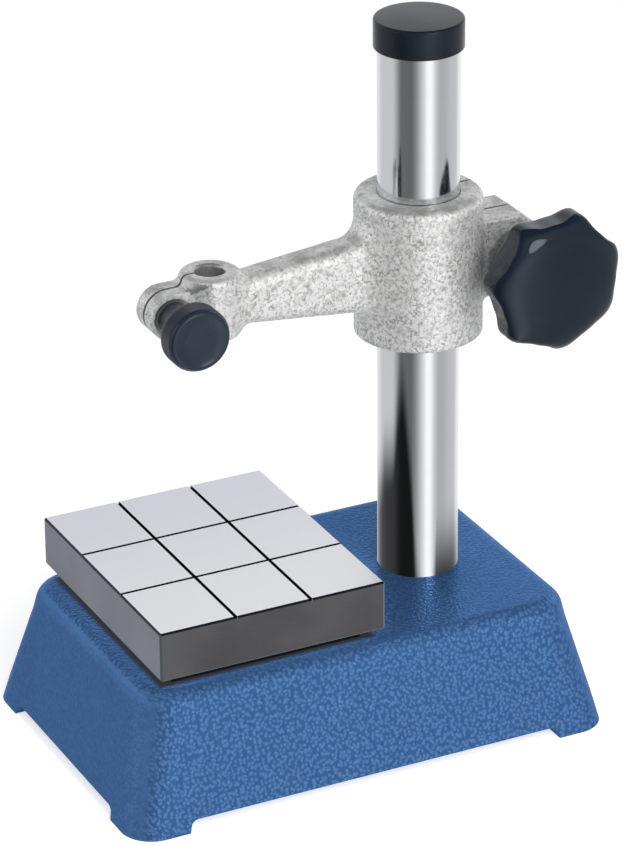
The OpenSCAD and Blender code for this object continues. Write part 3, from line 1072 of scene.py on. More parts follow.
@dataclass(frozen=True)
class Plan:
    """Where the sub-assemblies stand, in millimetres, read from the frame."""

    column_x: float
    base_x: float
    table_x: float
    arm_z: float

    @classmethod
    def read(cls) -> "Plan":
        """Measures the solids that carry the others.

        Returns:
            The plan.
        """
        def middle(node: str) -> Vector:
            """Middle of a node's box in millimetres."""
            low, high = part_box(node)
            return (low + high) / 2 / MM
        return cls(middle("column").x, middle("base").x, middle("table").x, middle("star_knob_stud").z)


@dataclass
class BaseCasting:
    """The cast base: leaning walls, rounded shoulders, corner feet and the hollow below."""

    plan: Plan
    half_l: float = 71.0
    half_w: float = 48.0
    height: float = 37.0
    draft: float = 8.2
    corner_r: float = 9.0
    shoulder_r: float = 12.0
    edge_r: float = 5.0
    wall: float = 6.0
    roof_z: float = 30.0
    foot_l: float = 16.0
    arch_h: float = 3.3
    arch_r: float = 2.6
    pad_half: tuple[float, float] = (27.5, 33.0)
    pad_top: float = 40.5
    boss_r: float = 18.0
    boss_z: float = 12.0
    boss_hole_r: float = 4.25
    seat_r: float = 7.0
    seat_z: float = 26.0
    seat_hole_r: float = 2.75
    screw_x: float = 21.5
    screw_y: float = 27.0
    wall_from: float = 4.2
    ledge: float = 0.6

    def _side(self, straight: float, half: float) -> list[tuple[float, float]]:
        """Stations along half a side.

        Args:
            straight: Half length of the straight part at the floor.
            half: Half length of the side.

        Returns:
            Share of the straight part and height of the lower edge, from the middle to the corner.
        """
        end = half - self.foot_l
        crown = end - self.arch_r
        xs = [(crown * i / 7, self.arch_h) for i in range(7)]
        for a in (math.radians(turn) for turn in range(0, 91, 10)):
            xs.append((crown + self.arch_r * math.sin(a), self.arch_h - self.arch_r * (1 - math.cos(a))))
        xs += [(end + 0.03, 0.0), ((end + straight) / 2, 0.0), (straight, 0.0)]
        return [(x / straight, z) for x, z in xs]

    def _stations(self) -> list[tuple[str, float, float]]:
        """Lists the stations round the base.

        Returns:
            Kind, place on its side or corner, and height of the lower edge, for each.
        """
        found: list[tuple[str, float, float]] = []
        for side, corner, half in (
            ("front", "fr", self.half_l), ("right", "br", self.half_w),
            ("back", "bl", self.half_l), ("left", "fl", self.half_w),
        ):
            half_side = self._side(half - self.corner_r, half)
            found += [(side, -s, z) for s, z in half_side[:0:-1]]
            found += [(side, s, z) for s, z in half_side]
            found += [(corner, i / 12, 0.0) for i in range(1, 12)]
        return found

    def _outline(self, a: float, b: float, r: float, z: float | None, lean: float = 0.0) -> list[Point]:
        """One closed outline of the base.

        Args:
            a: Half length.
            b: Half width.
            r: Corner radius.
            z: Height, or nothing for the lower edge with its arches.
            lean: How far the lower edge stands in for each millimetre of its height.

        Returns:
            A point for each station.
        """
        points: list[Point] = []
        corners = {"fr": (1, -1, -90), "br": (1, 1, 0), "bl": (-1, 1, 90), "fl": (-1, -1, 180)}
        for kind, s, low in self._stations():
            if kind in corners:
                sx, sy, start = corners[kind]
                turn = math.radians(start + 90 * s)
                x, y = sx * (a - r) + r * math.cos(turn), sy * (b - r) + r * math.sin(turn)
            else:
                inward = lean * low
                x, y = {
                    "front": (s * (a - r), inward - b), "right": (a - inward, s * (b - r)),
                    "back": (-s * (a - r), b - inward), "left": (inward - a, -s * (b - r)),
                }[kind]
            points.append((self.plan.base_x + x, y, low if z is None else z))
        return points

    def _shell(self, shape: Shape, inset: float, top: float, floor: float, corner: float, shoulder: float) -> list[int]:
        """Adds one skin of the casting, from its lower edge to its closed top.

        Args:
            shape: Where it goes.
            inset: How far the skin stands in from the outside, at the floor.
            top: Height of its top.
            floor: Height from which its walls lean.
            corner: Corner radius at the floor.
            shoulder: Corner radius at the top.

        Returns:
            The ring of its lower edge.
        """
        a, b = self.half_l - inset, self.half_w - inset
        rise = top - self.edge_r - floor
        lean = self.draft * rise / self.height
        lower = shape.ring(self._outline(a, b, corner, None, lean / rise))
        last = lower
        for step in range(1, 9):
            z = self.wall_from + (top - self.edge_r + 1.0 - self.wall_from) * step / 9
            t = (z - floor) / rise
            now = shape.ring(self._outline(a - lean * t, b - lean * t, corner + (shoulder - corner) * t, z))
            shape.bridge(last, now)
            last = now
        for x, z in arc(0.0, top - self.edge_r, self.edge_r, math.degrees(math.atan2(lean, rise)), 90.0, 9):
            inward = lean + self.edge_r - x
            now = shape.ring(self._outline(a - inward, b - inward, shoulder - self.edge_r + x, z))
            shape.bridge(last, now)
            last = now
        inward = lean + self.edge_r + self.ledge
        now = shape.ring(self._outline(a - inward, b - inward, max(shoulder - self.edge_r - self.ledge, 0.2), top))
        shape.bridge(last, now)
        shape.cap(now)
        return lower

    def build(self, finishes: Finishes) -> None:
        """Makes the base and dresses it.

        Args:
            finishes: The finishes.
        """
        shape = Shape()
        outer = self._shell(shape, 0.0, self.height, 0.5, self.corner_r, self.shoulder_r)
        inner = self._shell(shape, self.wall, self.roof_z, -0.5, self.corner_r - self.wall, self.shoulder_r - self.wall)
        shape.bridge(outer, inner)
        (px, py), x = self.pad_half, self.plan.table_x
        shape.block((x - px, -py, self.height - 1.0), (x + px, py, self.pad_top), 0.3)
        r, low, roof, hole = self.boss_r, self.boss_z, self.roof_z, self.boss_hole_r
        boss: Profile = [(hole, low), (r - 0.8, low), (r, low + 0.8), (r, roof - 1.5), (r + 1.5, roof),
                         (r + 1.5, roof + 1.0), (hole, roof + 1.0), (hole, low)]
        shape.lathe(boss, 64, Matrix.Translation((self.plan.column_x, 0.0, 0.0)))
        r, low, hole = self.seat_r, self.seat_z, self.seat_hole_r
        seat: Profile = [(hole, low), (r - 0.4, low), (r, low + 0.4), (r, roof + 1.0), (hole, roof + 1.0), (hole, low)]
        for sx in (-1, 1):
            for sy in (-1, 1):
                shape.lathe(seat, 32, Matrix.Translation((x + sx * self.screw_x, sy * self.screw_y, 0.0)))
        casting = shape.build("base_casting", 40.0)
        casting.visible_glossy = False
        stand_in(casting, Body.STAND, ["base"], finishes.enamel)


@dataclass
class TableSet:
    """The measuring table, and the screws and washers that hold it from below."""

    plan: Plan
    spacing_x: float = 43.0
    spacing_y: float = 54.0
    seat_z: float = 26.0
    screw_d: float = 5.0
    thread_l: float = 23.0

    def build(self, finishes: Finishes, table: Object, tree: Tree) -> None:
        """Dresses the table and sets its fasteners.

        Args:
            finishes: The finishes.
            table: The frame's own table.
            tree: The tree that repeats a fastener at the corners.
        """
        dress(table, finishes.table)
        table.visible_glossy = False
        head_z = self.seat_z - WASHER * self.screw_d
        screw = socket_screw(self.screw_d, self.thread_l, upside_down(0.0, head_z))
        ring = washer(self.screw_d, head_z, 48, Matrix.Identity(4))
        middle = (self.plan.table_x * MM, 0.0, 0.0)
        corners = {"Length": self.spacing_x * MM, "Width": self.spacing_y * MM, "Centre": middle}
        for name, shape, node, slot, finish in (
            ("table_screw_set", screw, "table_screws", Slot.BLACK_STEEL, finishes.black),
            ("table_washer_set", ring, "table_screw_washers", Slot.BRIGHT_STEEL, finishes.bright),
        ):
            piece = shape.build(name, CRISP)
            tree.run(piece, {**corners, "Material": finish})
            piece.visible_glossy = False
            stand_in(piece, Body.STAND, [node], finish)


def dress(node: Object, finish: Material) -> None:
    """Gives a solid of the frame its finish.

    Args:
        node: The solid.
        finish: Its material.
    """
    node.data.materials.clear()
    node.data.materials.append(finish)
    LOG.info("%s keeps its solid", node.name)


def upside_down(x: float, z: float) -> Matrix:
    """Place of a screw's own axis that hangs head down from a height."""
    return Matrix.Translation((x, 0.0, z)) @ Matrix.Rotation(math.pi, 4, "X")


def washer(d: float, z: float, segments: int, place: Matrix) -> Shape:
    """Makes a standard washer with slightly rounded edges.

    Args:
        d: Thread diameter.
        z: Height of its lower face.
        segments: Number of steps round its axis.
        place: Its own axis.

    Returns:
        The washer.
    """
    r_in, r_out, top, e = d / 2 + 0.03, d, z + WASHER * d, 0.03 * d
    rim: Profile = [(r_out - e, z), (r_out, z + e), (r_out, top - e), (r_out - e, top)]
    return Shape().lathe([(r_in, z), *rim, (r_in, top), (r_in, z)], segments, place)


def socket_screw(d: float, length: float, place: Matrix) -> Shape:
    """Makes a socket head screw whose head stands above its own z = 0 and whose thread hangs below.

    Args:
        d: Thread diameter.
        length: Thread length.
        place: Its own axis.

    Returns:
        The screw.
    """
    shape = Shape()
    head, bottom, key, e = 0.75 * d + 0.5, d / 2, 0.4 * d / math.cos(math.pi / 6), 0.08 * d
    segments, pitch = 48, PITCH * d
    root = d / 2 - RIDGE * pitch
    turns = [2 * math.pi * i / segments for i in range(segments)]

    def level(radii: Sequence[float], z: float) -> list[int]:
        """A ring with its own radius at each turn."""
        return shape.ring([tuple(place @ Vector((r * math.cos(a), r * math.sin(a), z))) for r, a in zip(radii, turns)])

    hexagon = [key * math.cos(math.pi / 6) / math.cos((a % (math.pi / 3)) - math.pi / 6) for a in turns]
    profile: Profile = [(head - e, d), (head, d - e), (head, e / 2), (head - e / 2, 0.0), (d / 2, 0.0)]
    z = -pitch
    while z > -length + pitch:
        profile += [(d / 2, z), (root, z - pitch / 2)]
        z -= pitch
    profile.append((root, -length))
    rings = [level(hexagon, d - bottom), level(hexagon, d)]
    rings += [level([r] * segments, z) for r, z in profile]
    shape.cap(rings[0])
    for a, b in zip(rings, rings[1:]):
        shape.bridge(a, b)
    shape.cap(rings[-1])
    return shape


@dataclass
class ColumnSet:
    """The ground column, its cap, and the screw that draws it into the base."""

    plan: Plan
    r: float = 11.0
    foot_z: float = 18.0
    top_z: float = 192.4
    chamfer: float = 1.0
    cap_z: float = 186.5
    cap_h: float = 8.0
    cap_wall: float = 1.0
    cap_roof: float = 2.0
    cap_edge: float = 0.7
    boss_z: float = 12.0
    screw_d: float = 8.0
    thread_l: float = 23.6
    hole_h: float = 17.0

    def build(self, finishes: Finishes) -> None:
        """Makes the column, the cap and the screw and dresses them.

        Args:
            finishes: The finishes.
        """
        axis = Matrix.Translation((self.plan.column_x, 0.0, 0.0))
        r, c, low, high = self.r, self.chamfer, self.foot_z, self.top_z
        hole, end = self.screw_d / 2 + FIT, low + self.hole_h
        side: Profile = [(r - c, low), (r, low + c), (r, high - c), (r - c, high)]
        column = Shape().lathe([(0.0, end), (hole, end), (hole, low), *side, (0.0, high)], 192, axis)
        stand_in(column.build("column_bar"), Body.STAND, ["column"], finishes.column)
        inner, outer, rim, top, e = r + 0.05, r + self.cap_wall, self.cap_z, self.cap_z + self.cap_h, self.cap_edge
        roof = top - self.cap_roof
        lip: Profile = [(inner, rim + 0.2), (inner + 0.2, rim), (outer - 0.2, rim), (outer, rim + 0.2)]
        crown = [*arc(outer - e, top - e, e, 0, 90, 6), (0.0, top)]
        cap = Shape().lathe([(0.0, roof), (inner, roof), *lip, *crown], 128, axis)
        fit(cap, "column_end_cap", Body.CAP, "column_cap", finishes.satin)
        head_z = self.boss_z - WASHER * self.screw_d
        screw = socket_screw(self.screw_d, self.thread_l, upside_down(self.plan.column_x, head_z))
        fit(screw, "column_draw_screw", Body.STAND, "column_screw", finishes.black)
        ring = washer(self.screw_d, head_z, 64, axis)
        fit(ring, "column_draw_washer", Body.STAND, "column_washer", finishes.bright)


def round_union(a: np.ndarray, b: np.ndarray, r: float) -> np.ndarray:
    """Joins two signed distances with a fillet of radius r."""
    inside = np.sqrt(np.maximum(r - a, 0.0) ** 2 + np.maximum(r - b, 0.0) ** 2)
    return np.maximum(np.minimum(a, b), r) - inside


def rounded(dx: np.ndarray, dz: np.ndarray, e: np.ndarray | float) -> np.ndarray:
    """Signed distance to a straight-sided form whose edge is rounded by e.

    Args:
        dx: Distance past one side.
        dz: Distance past the other side.
        e: Radius of the edge between them.

    Returns:
        The distance.
    """
    u, v = dx + e, dz + e
    return np.hypot(np.maximum(u, 0.0), np.maximum(v, 0.0)) + np.minimum(np.maximum(u, v), 0.0) - e


@dataclass
class ArmCasting:
    """The arm: split sleeve, tapered bar, split nose with lugs, and ears, cast in one piece.

    Its form is a signed distance field from the column's axis and the arm's centre line, so the
    parts run into each other with the fillets of a casting.
    """

    plan: Plan
    step: float = 0.45
    bore_r: float = 11.05
    sleeve_r: float = 17.25
    sleeve_z: tuple[float, float] = (-19.6, 20.2)
    sleeve_edge: tuple[float, float] = (0.8, 2.4)
    nose_x: float = -61.0
    nose_r: float = 8.2
    nose_z: tuple[float, float] = (-8.6, 9.3)
    nose_edge: float = 1.8
    stem_r: float = 4.0
    sleeve_chamfer: float = 0.3
    chamfer: float = 0.6
    bar_root: tuple[float, float] = (5.5, 10.3)
    bar_tip: tuple[float, float] = (5.0, 5.9)
    bar_corner: float = 3.6
    root_fillet: float = 5.0
    tip_fillet: float = 2.5
    lug_x: float = -73.6
    lug_r: float = 6.4
    lug_half: float = 4.75
    spot_r: float = 5.25
    spot_depth: float = 0.6
    lug_hole_r: float = 2.75
    stud_x: float = 25.15
    ear_r: float = 9.8
    ear_half_h: float = 11.0
    ear_half: float = 8.0
    ear_taper: float = 38.0
    ear_hole_r: float = 4.25
    slit: float = 0.45

    def cast(self, p: np.ndarray) -> np.ndarray:
        """Signed distance to the casting before it is machined.

        Args:
            p: Points, seen from where the arm's centre line meets the column's axis.

        Returns:
            The distances.
        """
        x, y, z = p[:, 0], p[:, 1], p[:, 2]
        rad = np.hypot(x, y)
        lo, hi = self.sleeve_z
        middle, half = (lo + hi) / 2, (hi - lo) / 2
        edge = np.where(z > middle, self.sleeve_edge[1], self.sleeve_edge[0])
        sleeve = rounded(rad - self.sleeve_r, np.abs(z - middle) - half, edge)
        lo, hi = self.nose_z
        middle, half = (lo + hi) / 2, (hi - lo) / 2
        nose = rounded(np.hypot(x - self.nose_x, y) - self.nose_r, np.abs(z - middle) - half, self.nose_edge)
        t = np.clip((x - self.nose_x) / (-self.sleeve_r - self.nose_x), 0.0, 1.1)
        half_w = self.bar_tip[0] + (self.bar_root[0] - self.bar_tip[0]) * t
        half_h = self.bar_tip[1] + (self.bar_root[1] - self.bar_tip[1]) * t
        bar = rounded(np.abs(y) - half_w, np.abs(z) - half_h, self.bar_corner)
        bar = np.maximum(bar, np.maximum(self.nose_x - x, x + 6.0))
        along = np.clip(x, self.lug_x, self.nose_x)
        lug = rounded(np.hypot(x - along, z) - self.lug_r, np.abs(y) - self.lug_half, 0.5)
        slope = math.radians(self.ear_taper)
        flank = (x - self.stud_x) * math.sin(slope) + np.abs(z) * math.cos(slope) - self.ear_r
        touch = self.stud_x + self.ear_r * math.sin(slope)
        wedge = np.maximum(np.maximum(flank, np.abs(z) - self.ear_half_h), np.maximum(-x, x - touch))
        ear = np.minimum(np.hypot(x - self.stud_x, z) - self.ear_r, wedge)
        ear = rounded(ear, np.abs(y) - self.ear_half, 0.8)
        d = round_union(sleeve, bar, self.root_fillet)
        d = round_union(d, nose, self.tip_fillet)
        d = round_union(d, lug, 1.8)
        return round_union(d, ear, 1.6)

    def cuts(self, p: np.ndarray) -> np.ndarray:
        """Signed distance to what the tools take away: bores, slits, screw holes and the round seat.

        Args:
            p: Points, seen from where the arm's centre line meets the column's axis.

        Returns:
            The distances.
        """
        x, y, z = p[:, 0], p[:, 1], p[:, 2]

        def mouth(span: tuple[float, float], c: float) -> np.ndarray:
            """How much wider a bore is near its mouths."""
            return np.maximum(np.maximum(c - (span[1] - z), c - (z - span[0])), 0.0)

        bore = np.hypot(x, y) - self.bore_r - mouth(self.sleeve_z, self.sleeve_chamfer)
        stem = np.hypot(x - self.nose_x, y) - self.stem_r - mouth(self.nose_z, self.chamfer)
        nose_slit = np.maximum(np.abs(y) - self.slit, x - self.nose_x)
        ear_slit = np.maximum(np.abs(y) - self.slit, -x)
        lug = np.hypot(x - self.lug_x, z)
        hole = np.minimum(lug - self.lug_hole_r, np.hypot(x - self.stud_x, z) - self.ear_hole_r)
        seat = np.maximum(lug - self.spot_r, y + self.lug_half - self.spot_depth)
        found = bore
        for other in (stem, nose_slit, ear_slit, hole, seat):
            found = np.minimum(found, other)
        return found

    def field(self, p: np.ndarray) -> np.ndarray:
        """Signed distance to the finished arm."""
        return np.maximum(self.cast(p), -self.cuts(p))

    def bare(self, p: np.ndarray, normal: np.ndarray) -> np.ndarray:
        """Where the metal is bare, 0 to 1.

        Args:
            p: Points of the surface.
            normal: Its normals.

        Returns:
            A value for each point.
        """
        cut = (-self.cuts(p) > self.cast(p) - 0.02).astype(float)
        x, z = p[:, 0], p[:, 2]
        lug = 0.40 * np.clip((self.nose_x - 5.0 - x) / 2.0, 0.0, 1.0) * (np.abs(normal[:, 1]) < 0.75)
        face = 0.37 * np.clip((z - self.nose_z[1] + 0.5) / 0.4, 0.0, 1.0)
        face *= np.hypot(x - self.nose_x, p[:, 1]) < self.nose_r
        step = np.clip((z - self.lug_r + 0.4 - 0.55 * (x - self.nose_x + 6.5)) / 0.5, 0.0, 1.0)
        step *= (p[:, 1] < 0) & (z < 8.4) & (np.abs(x - self.nose_x + 4.0) < 4.0)
        return np.clip(np.maximum(np.maximum(cut, lug), np.maximum(face, step)), 0.0, 1.0)

    def build(self, finishes: Finishes) -> None:
        """Makes the arm and dresses it.

        Args:
            finishes: The finishes.
        """
        low = np.array([self.lug_x - self.lug_r - 1.5, -self.sleeve_r - 1.0, self.sleeve_z[0] - 1.2])
        high = np.array([self.stud_x + self.ear_r + 1.5, self.sleeve_r + 1.0, self.sleeve_z[1] + 1.2])
        points, quads, normals = contour(self.field, low, high, self.step)
        bare = self.bare(points, normals)
        points += np.array([self.plan.column_x, 0.0, self.plan.arm_z])
        mesh = bpy.data.meshes.new("arm_casting")
        mesh.from_pydata((points * MM).tolist(), [], quads.tolist())
        worn = mesh.attributes.new("bare", "FLOAT", "POINT")
        worn.data.foreach_set("value", bare.astype(np.float32))
        stand_in(finish_mesh("arm_casting", mesh, 38.0), Body.ARM, ["arm"], finishes.silver)


def slope(field: Callable[[np.ndarray], np.ndarray], p: np.ndarray) -> np.ndarray:
    """Unit gradients of a field at some points.

    Args:
        field: The field.
        p: The points.

    Returns:
        A gradient for each point.
    """
    h = 0.02
    grad = np.stack([field(p + h * e) - field(p - h * e) for e in np.eye(3)], 1)
    return grad / np.maximum(np.linalg.norm(grad, axis=1, keepdims=True), 1e-9)


def contour(field: Callable[[np.ndarray], np.ndarray], low: np.ndarray, high: np.ndarray,
            step: float) -> tuple[np.ndarray, np.ndarray, np.ndarray]:
    """Lays a mesh of quads on a field's zero surface, with its sharp edges kept.

    Each cell that the surface crosses gets one point, set where the planes through its crossings
    meet, and each crossed grid edge gets one quad.

    Args:
        field: Signed distance of points in millimetres.
        low: Lowest corner of the space to search.
        high: Highest corner.
        step: Size of a cell.

    Returns:
        Points, quads of point numbers, and the points' normals.
    """
    count = np.ceil((high - low) / step).astype(int) + 1
    axes = [low[i] + step * np.arange(count[i]) for i in range(3)]
    values = np.empty(count)
    for i, x in enumerate(axes[0]):
        yy, zz = np.meshgrid(axes[1], axes[2], indexing="ij")
        slab = np.stack([np.full(yy.size, x), yy.ravel(), zz.ravel()], 1)
        values[i] = field(slab).reshape(yy.shape)
    inside = values < 0.0
    crossings, slopes, cells, flips = [], [], [], []
    for axis in range(3):
        e = np.eye(3, dtype=int)[axis]
        near = inside[tuple(slice(0, count[i] - 1) if i == axis else slice(None) for i in range(3))]
        far = inside[tuple(slice(1, None) if i == axis else slice(None) for i in range(3))]
        ids = np.argwhere(near != far)
        d0, d1 = values[tuple(ids.T)], values[tuple((ids + e).T)]
        p = low + step * (ids + (d0 / (d0 - d1))[:, None] * e)
        u, v = np.eye(3, dtype=int)[(axis + 1) % 3], np.eye(3, dtype=int)[(axis + 2) % 3]
        around = np.stack([ids, ids - u, ids - u - v, ids - v], 1)
        crossings.append(p)
        slopes.append(slope(field, p))
        cells.append(np.ravel_multi_index(tuple(np.moveaxis(around, 2, 0)), tuple(count)))
        flips.append(d0 > 0)
    p, n = np.concatenate(crossings), np.concatenate(slopes)
    cell, flip = np.concatenate(cells), np.concatenate(flips)
    used, quads = np.unique(cell.ravel(), return_inverse=True)
    quads = quads.reshape(cell.shape)
    owner, total = quads.ravel(), len(used)
    p4, n4 = np.repeat(p, 4, 0), np.repeat(n, 4, 0)
    share = np.bincount(owner, minlength=total)[:, None]
    mean = np.stack([np.bincount(owner, p4[:, i], total) for i in range(3)], 1) / share
    offset = np.einsum("ij,ij->i", n4, p4 - mean[owner])
    products = [np.bincount(owner, n4[:, i] * n4[:, j], total) for i in range(3) for j in range(3)]
    ata = np.stack(products, 1).reshape(-1, 3, 3)
    atb = np.stack([np.bincount(owner, n4[:, i] * offset, total) for i in range(3)], 1)
    moved = np.linalg.solve(ata + 0.06 * np.eye(3), atb[:, :, None])[:, :, 0]
    corner = low + step * np.stack(np.unravel_index(used, tuple(count)), 1)
    points = np.clip(mean + moved, corner - 0.05 * step, corner + 1.05 * step)
    quads = np.where(flip[:, None], quads[:, ::-1], quads)
    normals = slope(field, points)
    return points, quads, normals


# Shares of the star grip's hub, flank and crown at which its blank has rings
HUB_STEPS = (0.25, 0.5, 0.75, 0.97)
FLANK_STEPS = (0.2, 0.4, 0.6, 0.8, 0.93)
CROWN_STEPS = (
    1.0, 0.985, 0.967, 0.945, 0.92, 0.89, 0.855, 0.82, 0.78, 0.73, 0.67, 0.6, 0.52, 0.44, 0.36, 0.28, 0.2, 0.12, 0.05,
)


@dataclass
class StarGrip:
    """The star grip of the column clamp with its stud and washer."""

    plan: Plan
    stud_x: float = 25.15
    seat: float = 9.6
    tip: float = 19.4
    hollow: float = 2.2
    slimness: float = 1.9
    first: float = 19.0
    lobes: int = 7
    hub_h: float = 11.6
    flank_h: float = 3.25
    hub_r: float = 9.0
    flare_r: float = 14.5
    lip: float = 0.5
    shoulder: float = 19.6
    crown: float = 5.0
    roundness: float = 3.4
    follow: float = 0.4
    fall: float = 5.0
    crease: float = 0.3
    stud_d: float = 8.0
    ear_half: float = 8.0

    def _profile(self) -> list[tuple[float, float, float, float, float]]:
        """Lists the rings of the turned blank.

        Returns:
            Radius, height, lobing, crowned and sink for each.
        """
        flank = self.hub_h + self.flank_h
        bore = self.stud_d / 2 + FIT
        neck = self.flare_r + self.lip
        rings = [(bore, 0.0, 0.0), (self.hub_r - 0.4, 0.0, 0.0), (self.hub_r, 0.4, 0.0)]
        rings += [(self.hub_r + (self.flare_r - self.hub_r) * t, self.hub_h * t, 0.0) for t in HUB_STEPS]
        rings += [(neck - self.lip * 0.4, self.hub_h - 0.1, 0.0), (neck, self.hub_h + 0.15, 0.0)]
        rings += [(neck + (self.tip - 1.0 - neck) * t, self.hub_h + self.flank_h * t ** 1.3, t) for t in FLANK_STEPS]
        rings += [(x, z, 1.0) for x, z in arc(self.tip - 1.6, flank + 1.2, 1.6, -60, 0, 5)]
        rings += [(self.tip, flank + 1.2 + (self.shoulder - 0.7 - flank - 1.2) * t, 1.0) for t in (0.4, 0.8, 1.0)]
        body = [(r, z, lobing, 0.0, 0.0) for r, z, lobing in rings]
        top = self.shoulder + self.crown
        body.append((self.tip, top, 1.0, 1.0, self.crease * MM))
        for s in CROWN_STEPS:
            body.append((self.tip * s, top + 1.0 + (1.0 - s) * 10.0, s ** self.fall, 1.0, 0.0))
        body.append((0.0, top + 20.0, 0.0, 1.0, 0.0))
        return body

    def build(self, finishes: Finishes, tree: Tree) -> None:
        """Makes the grip, its stud and its washer.

        Args:
            finishes: The finishes.
            tree: The tree that presses the hollows into the blank.
        """
        segments = self.lobes * 32
        rings = self._profile()
        grip = Shape().lathe([(r, z) for r, z, *_ in rings], segments, Matrix.Identity(4)).build("star_grip", 50.0)
        table = np.array(rings)
        spots = np.array([(math.hypot(v.co.x, v.co.y), v.co.z) for v in grip.data.vertices]) / MM
        near = np.argmin(np.linalg.norm(spots[:, None] - table[None, :, :2], axis=2), axis=1)
        for column, name in enumerate(("lobing", "crowned", "sink"), 2):
            marks = grip.data.attributes.new(name, "FLOAT", "POINT")
            marks.data.foreach_set("value", table[near, column].astype(np.float32))
        axis_x = self.plan.column_x + self.stud_x
        tree.run(grip, {
            "Lobes": self.lobes, "Hollow": self.hollow * MM, "Slimness": self.slimness, "Tip": self.tip * MM,
            "First": math.radians(self.first), "Crown": self.crown * MM, "Roundness": self.roundness,
            "Shoulder": self.shoulder * MM, "Follow": self.follow, "Turn": (math.pi / 2, 0.0, 0.0),
            "Centre": (axis_x * MM, -self.seat * MM, self.plan.arm_z * MM),
            "Material": finishes.gloss,
        })
        grip.data.set_sharp_from_angle(angle=math.radians(60.0))
        stand_in(grip, Body.STAR, ["star_knob"], finishes.gloss)
        place = clamp_axis(axis_x, self.plan.arm_z)
        stud = threaded_bar(self.stud_d, 1.0 - self.ear_half, self.seat + self.hub_h, place)
        fit(stud, "star_grip_stud", Body.STAR, "star_knob_stud", finishes.bright)
        ring = washer(self.stud_d, self.ear_half, 64, place)
        fit(ring, "star_grip_washer", Body.STAR_SEAT, "star_knob_washer", finishes.bright)


def threaded_bar(d: float, start: float, end: float, place: Matrix) -> Shape:
    """Makes a bar with thread ridges and chamfered ends.

    Args:
        d: Thread diameter.
        start: Height of its first end on its own axis.
        end: Height of its last end.
        place: Its own axis.

    Returns:
        The bar.
    """
    pitch = PITCH * d
    root = d / 2 - RIDGE * pitch
    profile: Profile = [(0.0, start), (root - 0.2, start), (root, start + 0.2)]
    z = start + pitch
    while z < end - pitch:
        profile += [(d / 2, z), (root, z + pitch / 2)]
        z += pitch
    profile += [(root, end - 0.2), (root - 0.2, end), (0.0, end)]
    return Shape().lathe(profile, 40, place)


@dataclass
class StemKnob:
    """The knurled knob of the stem clamp with its screw and washer."""

    plan: Plan
    axis_x: float = -73.6
    lug_half: float = 4.75
    spot_depth: float = 0.6
    screw_d: float = 5.0
    knob_r: float = 8.65
    knob_h: float = 6.6
    collar_r: float = 4.5
    collar_h: float = 9.8
    face_edge: float = 1.2
    ribs: int = 96
    rib: float = 0.40

    def build(self, finishes: Finishes, tree: Tree) -> None:
        """Makes the knob, its ribs, its screw and its washer.

        Args:
            finishes: The finishes.
            tree: The tree that sets the ribs.
        """
        seat = self.lug_half - self.spot_depth + WASHER * self.screw_d
        x, top = self.plan.column_x + self.axis_x, self.collar_h + self.knob_h
        place = clamp_axis(x, self.plan.arm_z) @ Matrix.Translation((0.0, 0.0, seat))
        core, e = self.knob_r - 0.25, self.face_edge
        bore, neck, low = self.screw_d / 2 + FIT, self.collar_r, self.collar_h
        knob = Shape().lathe([(bore, 0.0), (neck - 0.3, 0.0), (neck, 0.3), (neck, low - 0.5), (neck + 0.5, low),
                              (core - 0.6, low), (core, low + 0.6), *arc(core - e, top - e, e, 0, 90, 8),
                              (core - e - 0.35, top - 0.02), (core - e - 0.5, top - 0.12), (core * 0.45, top - 0.07),
                              (0.0, top - 0.06)], 136, place)
        stand_in(knob.build("stem_knob_core", 40.0), Body.STEM, ["stem_clamp_knob"], finishes.knurl)
        length = self.knob_h - 0.5 - e
        knurl = Shape().lathe([(0.1, 0.0), (0.1, 0.1)], 6, Matrix.Identity(4)).build("stem_knob_knurl", CRISP)
        middle = seat + self.collar_h + 0.5 + length / 2
        tree.run(knurl, {
            "Ribs": self.ribs, "Radius": core * MM, "Length": length * MM, "Width": self.rib * MM,
            "Centre": (x * MM, -middle * MM, self.plan.arm_z * MM), "Turn": (math.pi / 2, 0.0, 0.0),
            "Material": finishes.knurl,
        })
        stand_in(knurl, Body.STEM, [], finishes.knurl)
        axis = clamp_axis(x, self.plan.arm_z)
        screw = threaded_bar(self.screw_d, 1.0 - self.lug_half, seat + self.collar_h, axis)
        fit(screw, "stem_knob_screw", Body.STEM, "stem_clamp_screw", finishes.bright)
        ring = washer(self.screw_d, self.lug_half - self.spot_depth, 48, axis)
        fit(ring, "stem_knob_washer", Body.STEM_SEAT, "stem_clamp_washer", finishes.bright)


# Studio


